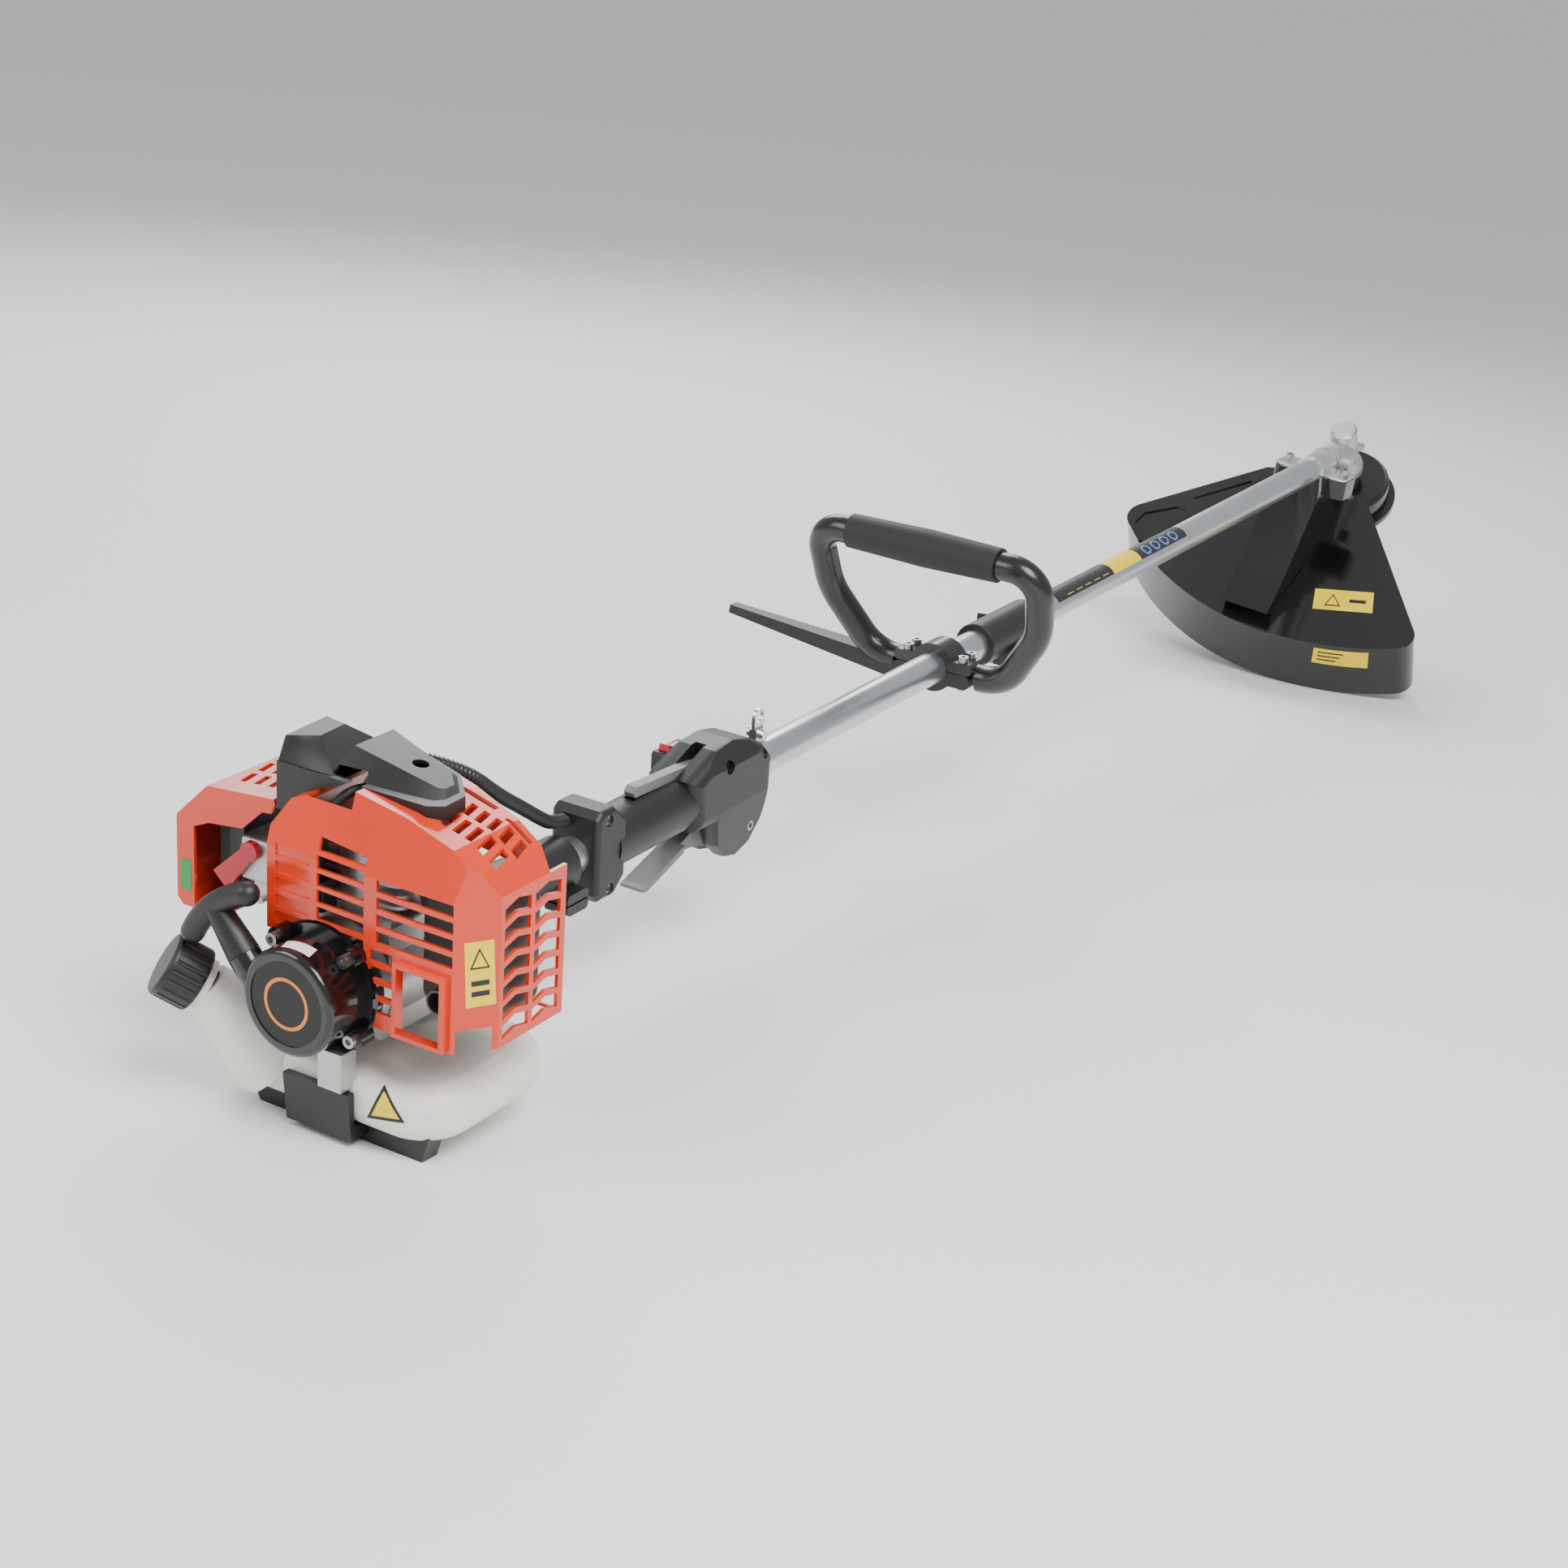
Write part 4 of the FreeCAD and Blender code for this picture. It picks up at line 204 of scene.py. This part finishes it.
# ---- visual pieces ---------------------------------------------------------------------
def piece(name, verts, faces, material, body="machine", smooth=True):
    mesh = bpy.data.meshes.new(name)
    mesh.from_pydata([tuple(v) for v in verts], [], faces)
    mesh.materials.append(material)
    for polygon in mesh.polygons:
        polygon.use_smooth = smooth
    mesh.update()
    item = bpy.data.objects.new(name, mesh)
    bpy.context.scene.collection.objects.link(item)
    if body:
        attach(item, body)
    return item


def quads(rows, columns, closed=False):
    faces = []
    for i in range(rows - 1):
        for j in range(columns if closed else columns - 1):
            here, below, k = i * columns, (i + 1) * columns, (j + 1) % columns
            faces.append((here + j, here + k, below + k, below + j))
    return faces


RUN_UP = 0.04               # metres that a label's search starts ahead of its surface
TRIANGLE_CENTRE = 0.64      # down a triangle's height
TRIANGLE_FIELD = 0.74       # the filled middle's share of a triangle
TREES = {}


def tree_of(node):
    if node not in TREES:
        item = nodes[node]
        points = [item.matrix_world @ v.co for v in item.data.vertices]
        TREES[node] = BVHTree.FromPolygons(points, [tuple(p.vertices) for p in item.data.polygons])
    return TREES[node]


def laid(point, node, push, lift):
    """The point moved along push until it meets the node, less a small lift."""
    hit = tree_of(node).ray_cast(point - push * RUN_UP, push)[0]
    return (hit if hit is not None else point) - push * lift / 1000


def label(name, node, corners, push, material, cells=14, lift=0.25):
    """A thin four-cornered label on a CAD node, its corners in the row frame."""
    steps = [index / cells for index in range(cells + 1)]
    verts = [laid(frame_point(corners, s, t), node, push, lift) for s in steps for t in steps]
    return piece(name, verts, quads(cells + 1, cells + 1), material)


def frame_point(corners, s, t):
    """A place in a four-cornered patch: s along its first edge, t down from it."""
    a, b, c, d = corners
    return a.lerp(b, s).lerp(d.lerp(c, s), t)


def mark(name, node, corners, push, shape, material, lift=0.4, cells=10):
    """A printed mark laid on a label, from three or four outline points in label coordinates."""
    shape = [Vector(point) for point in shape]
    places, faces = [], []
    if len(shape) == 4:
        for i in range(cells + 1):
            places += [frame_point(shape, j / cells, i / cells) for j in range(cells + 1)]
        faces = quads(cells + 1, cells + 1)
    else:
        a, b, c = shape
        for i in range(cells + 1):
            places += [a + ((b - a) * (i - j) + (c - a) * j) / cells for j in range(i + 1)]
        for i in range(cells):
            here, below = i * (i + 1) // 2, (i + 1) * (i + 2) // 2
            for j in range(i + 1):
                faces.append((here + j, below + j, below + j + 1))
                if j < i:
                    faces.append((here + j, below + j + 1, here + j + 1))
    verts = [laid(frame_point(corners, s, t), node, push, lift) for s, t in places]
    return piece(name, verts, faces, material, smooth=False)


def triangle_mark(name, node, corners, push, s0, s1, t0, t1, material, inner, lift=0.4):
    """A warning triangle: a black outline and a filled centre, with no picture in it."""
    middle = (s0 + s1) / 2
    outer = [(middle, t0), (s1, t1), (s0, t1)]
    mark(name + "_edge", node, corners, push, outer, material, lift)
    cx, cy = middle, t0 + (t1 - t0) * TRIANGLE_CENTRE
    small = [(cx + (s - cx) * TRIANGLE_FIELD, cy + (t - cy) * TRIANGLE_FIELD) for s, t in outer]
    mark(name + "_field", node, corners, push, small, inner, lift + 0.15)


def push_along(x, y, z):
    return (TIP @ Vector((x, y, z))).normalized()


def head_push(w, v, u):
    return (head(w, v, u) - head(0, 0, 0)).normalized()


def box(s0, s1, t0, t1):
    return [(s0, t0), (s1, t0), (s1, t1), (s0, t1)]


def make_shroud_label():
    push = push_along(0.59, 0.81, 0)
    corners = [at(41, -107.4, 60), at(56.5, -118.4, 60.5), at(58.5, -119.9, 16), at(42.5, -108.5, 15)]
    label("shroud_label", "engine_shroud", corners, push, LABEL_YELLOW)
    triangle_mark("shroud_mark", "engine_shroud", corners, push, 0.16, 0.84, 0.1, 0.42,
                  LABEL_BLACK, LABEL_YELLOW)
    mark("shroud_bar", "engine_shroud", corners, push, box(0.2, 0.8, 0.6, 0.68), LABEL_BLACK)
    mark("shroud_bar_low", "engine_shroud", corners, push, box(0.2, 0.8, 0.76, 0.84), LABEL_BLACK)


def make_filter_label():
    corners = [at(60, 143, 40), at(60, 133.3, 41), at(60, 133.3, 18.7), at(60, 143, 18.3)]
    label("filter_label", "air_filter_cover", corners, push_along(1, 0, 0), LABEL_GREEN, 6)


def make_starter_label():
    corners = [at(16, 12, 34), at(17, -11, 34), at(7, -13, 34), at(5, 8, 34)]
    label("starter_label", "starter_housing", corners, push_along(0, 0, -1), LABEL_WHITE, 12)


def make_tank_labels():
    push = push_along(0.80, 0.47, -0.37)
    corners = [at(34.6, -36.5, -56.6), at(36.6, -65.9, -51.4), at(30.1, -72.4, -72.4), at(28.2, -43.1, -77.6)]
    triangle_mark("tank_mark", "fuel_tank", corners, push, 0.0, 1.0, 0.0, 1.0, LABEL_BLACK, LABEL_YELLOW, 0.3)
    corners = [at(32.4, -66.7, -56.6), at(40.1, -85.0, -59.6), at(38.0, -85.6, -66.6), at(29.3, -69.7, -62.1)]
    label("tank_label", "fuel_tank", corners, push, LABEL_WHITE, 8, 0.3)


def make_guard_labels():
    push = head_push(1, 0, 0)
    corners = [head(28, -49, 179), head(28, -110, 159), head(28, -121, 188), head(28, -59, 208)]
    label("guard_label", "guard", corners, push, LABEL_YELLOW)
    triangle_mark("guard_mark", "guard", corners, push, 0.18, 0.46, 0.2, 0.8, LABEL_BLACK, LABEL_YELLOW)
    mark("guard_bar", "guard", corners, push, box(0.6, 0.88, 0.42, 0.58), LABEL_BLACK)
    push = head_push(0, 0.28, -0.95)
    corners = [head(38, -83, 256), head(38, -140, 240), head(63, -139, 240), head(62, -80, 256)]
    label("skirt_label", "guard", corners, push, LABEL_YELLOW)
    for index in range(3):
        top = 0.2 + 0.24 * index
        shape = box(0.08, 0.55 - 0.06 * index, top, top + 0.09)
        mark("skirt_bar_" + str(index), "guard", corners, push, shape, LABEL_BLACK)


def make_badge():
    """A plain dark disc with one thin ring on the starter's end face."""
    count = 64
    for name, inner, outer, x, material in (("badge_disc", 0.0, 28.4, 0.55, MATERIALS["rubber"]),
                                            ("badge_ring", 15.5, 18.0, 0.35, LABEL_ORANGE)):
        verts = []
        for radius in (inner, outer):
            for k in range(count):
                angle = 2 * math.pi * k / count
                verts.append(at(x, radius * math.cos(angle), radius * math.sin(angle)))
        piece(name, verts, quads(2, count, True), material)


LABEL_ARC = (32, 142)       # degrees from the right side up over the top of the shaft
LABEL_R = 14.15             # just off the 14 mm tube
FIELD_R = 14.25
PRINT_R = 14.3
TRIANGLE_STEP, TRIANGLE_LENGTH = 19, 13
RING_STEP, RING_RADII = 21, (5.0, 8.0)
RING_MIDDLE, RING_TURN = 62, 3.0        # degrees round the shaft, and degrees to the millimetre


def on_shaft(x, degrees, radius):
    angle = math.radians(degrees)
    return at(x, -radius * math.cos(angle), radius * math.sin(angle))


def sector(name, x0, x1, radius, material):
    """A length of the sleeve round the shaft, over the label's arc."""
    columns = 24
    start, end = LABEL_ARC
    angles = [start + (end - start) * j / (columns - 1) for j in range(columns)]
    verts = [on_shaft(x, angle, radius) for x in (x0, x1) for angle in angles]
    return piece(name, verts, quads(2, columns), material)


def make_shaft_label():
    sector("shaft_label", 1061, 1350, LABEL_R, LABEL_BLACK)
    sector("shaft_label_field", 1180, 1242, FIELD_R, LABEL_YELLOW)
    for index in range(5):
        x = 1082 + index * TRIANGLE_STEP
        shape = [(x, 44), (x + TRIANGLE_LENGTH, 44), (x + TRIANGLE_LENGTH / 2, 74)]
        verts = [on_shaft(place, angle, PRINT_R) for place, angle in shape]
        piece("shaft_mark_" + str(index), verts, [(0, 1, 2)], LABEL_YELLOW, smooth=False)
    for index in range(4):
        x = 1262 + index * RING_STEP
        count = 24
        turns = [2 * math.pi * k / count for k in range(count)]
        verts = []
        for radius in RING_RADII:
            for turn in turns:
                angle = RING_MIDDLE + radius * RING_TURN * math.sin(turn)
                verts.append(on_shaft(x + radius * math.cos(turn), angle, PRINT_R))
        piece("shaft_ring_" + str(index), verts, quads(2, count, True), LABEL_BLUE)


# ---- conduit and rope ------------------------------------------------------------------
def route_points(name, points):
    """Points along a smooth NURBS line through the route, in the row frame."""
    curve = bpy.data.curves.new(name, "CURVE")
    curve.dimensions = "3D"
    curve.resolution_u = 24
    spline = curve.splines.new("NURBS")
    spline.points.add(len(points) - 1)
    for point, place in zip(spline.points, points):
        point.co = (place.x, place.y, place.z, 1)
    spline.order_u = 3
    spline.use_endpoint_u = True
    holder = bpy.data.objects.new(name, curve)
    mesh = bpy.data.meshes.new_from_object(holder)
    found = [v.co.copy() for v in mesh.vertices]
    bpy.data.objects.remove(holder)
    return found


def evenly(points, step):
    """The same line, as points one step apart."""
    found = [points[0]]
    left = step
    for here, there in zip(points[:-1], points[1:]):
        run = (there - here).length
        while run >= left and run > 0:
            here = here.lerp(there, left / run)
            found.append(here)
            run = (there - here).length
            left = step
        left -= run
    found.append(points[-1])
    return found


def swept(name, points, radius_at, material, sides=18, body="machine"):
    verts = []
    side = Vector((0, 0, 1))
    for index, here in enumerate(points):
        ahead = points[min(index + 1, len(points) - 1)] - points[max(index - 1, 0)]
        ahead.normalize()
        side = (side - ahead * side.dot(ahead)).normalized()
        other = ahead.cross(side)
        radius = radius_at(index)
        for k in range(sides):
            turn = 2 * math.pi * k / sides
            verts.append(here + (side * math.cos(turn) + other * math.sin(turn)) * radius)
    faces = quads(len(points), sides, True)
    faces.append(tuple(range(sides))[::-1])
    faces.append(tuple(range(len(verts) - sides, len(verts))))
    return piece(name, verts, faces, material, body)


CONDUIT_ROUTE = [(100, 80, 82), (137, 80, 86), (158, 48, 112), (192, 10, 98), (222, 4, 72), (250, 5, 54),
                 (274, 7, 38), (292, 8, 27), (314, 8, 24)]
CONDUIT_STEP = 0.0008       # metres
RIDGE, GROOVE = 0.0052, 0.0043


def make_conduit():
    line = evenly(route_points("conduit_route", [at(*point) for point in CONDUIT_ROUTE]), CONDUIT_STEP)
    ribs = (RIDGE, RIDGE, GROOVE, GROOVE)
    tube = swept("conduit_tube", line, lambda index: ribs[index % 4], MATERIALS["black_plastic"])
    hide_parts("throttle_conduit")


REEL_R = 25.2               # where the rope leaves the reel
REEL_X = 14
ROPE_R = 0.00175
ROPE_STEP, ROPE_COUNT = 0.5, 151
ROPE_DIR = Vector((0, 0.65, 0.76)).normalized()
ROPE_START = Vector((REEL_X, REEL_R * ROPE_DIR.z, -REEL_R * ROPE_DIR.y))


def make_rope():
    def along(distance):
        return at(*(ROPE_START + ROPE_DIR * distance))
    line = [along(ROPE_STEP * k) for k in range(ROPE_COUNT)]
    rope = swept("rope_line", line, lambda index: ROPE_R, MATERIALS["cord"], 12, None)
    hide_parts("starter_rope")
    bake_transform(rope)


make_shroud_label()
make_filter_label()
make_starter_label()
make_tank_labels()
make_guard_labels()
make_badge()
make_shaft_label()
make_conduit()
make_rope()


# ---- floor and light -------------------------------------------------------------------
FLOOR_HALF = 60.0           # metres
SKY, SKY_STRENGTH = (0.93, 0.95, 0.97, 1), 0.62
LIGHT_AIM = Vector((-0.3, 0, 0.1))
LIGHTS = [("key", (-1.4, -1.6, 2.4), 1.6, 105),     # name, place, size in metres, power in watts
          ("fill", (-2.4, 1.4, 1.6), 1.4, 30),
          ("rim", (1.6, 1.6, 2.0), 1.8, 60)]


def make_floor():
    material, _, shader = new_material("pale floor")
    shader.inputs["Base Color"].default_value = (0.88, 0.88, 0.87, 1)
    shader.inputs["Roughness"].default_value = 0.7
    half = FLOOR_HALF
    mesh = bpy.data.meshes.new("floor")
    corners = [(-half, -half, 0), (half, -half, 0), (half, half, 0), (-half, half, 0)]
    mesh.from_pydata(corners, [], [(0, 1, 2, 3)])
    mesh.materials.append(material)
    floor = bpy.data.objects.new("floor", mesh)
    bpy.context.scene.collection.objects.link(floor)


def make_lights():
    world = bpy.data.worlds.new("studio")
    world.use_nodes = True
    world.node_tree.nodes["Background"].inputs["Color"].default_value = SKY
    world.node_tree.nodes["Background"].inputs["Strength"].default_value = SKY_STRENGTH
    bpy.context.scene.world = world
    for name, place, size, power in LIGHTS:
        data = bpy.data.lights.new(name, "AREA")
        data.size = size
        data.energy = power
        lamp = bpy.data.objects.new(name, data)
        lamp.location = place
        lamp.rotation_mode = "QUATERNION"
        lamp.rotation_quaternion = (Vector(place) - LIGHT_AIM).to_track_quat("Z", "Y")
        bpy.context.scene.collection.objects.link(lamp)


make_floor()
make_lights()
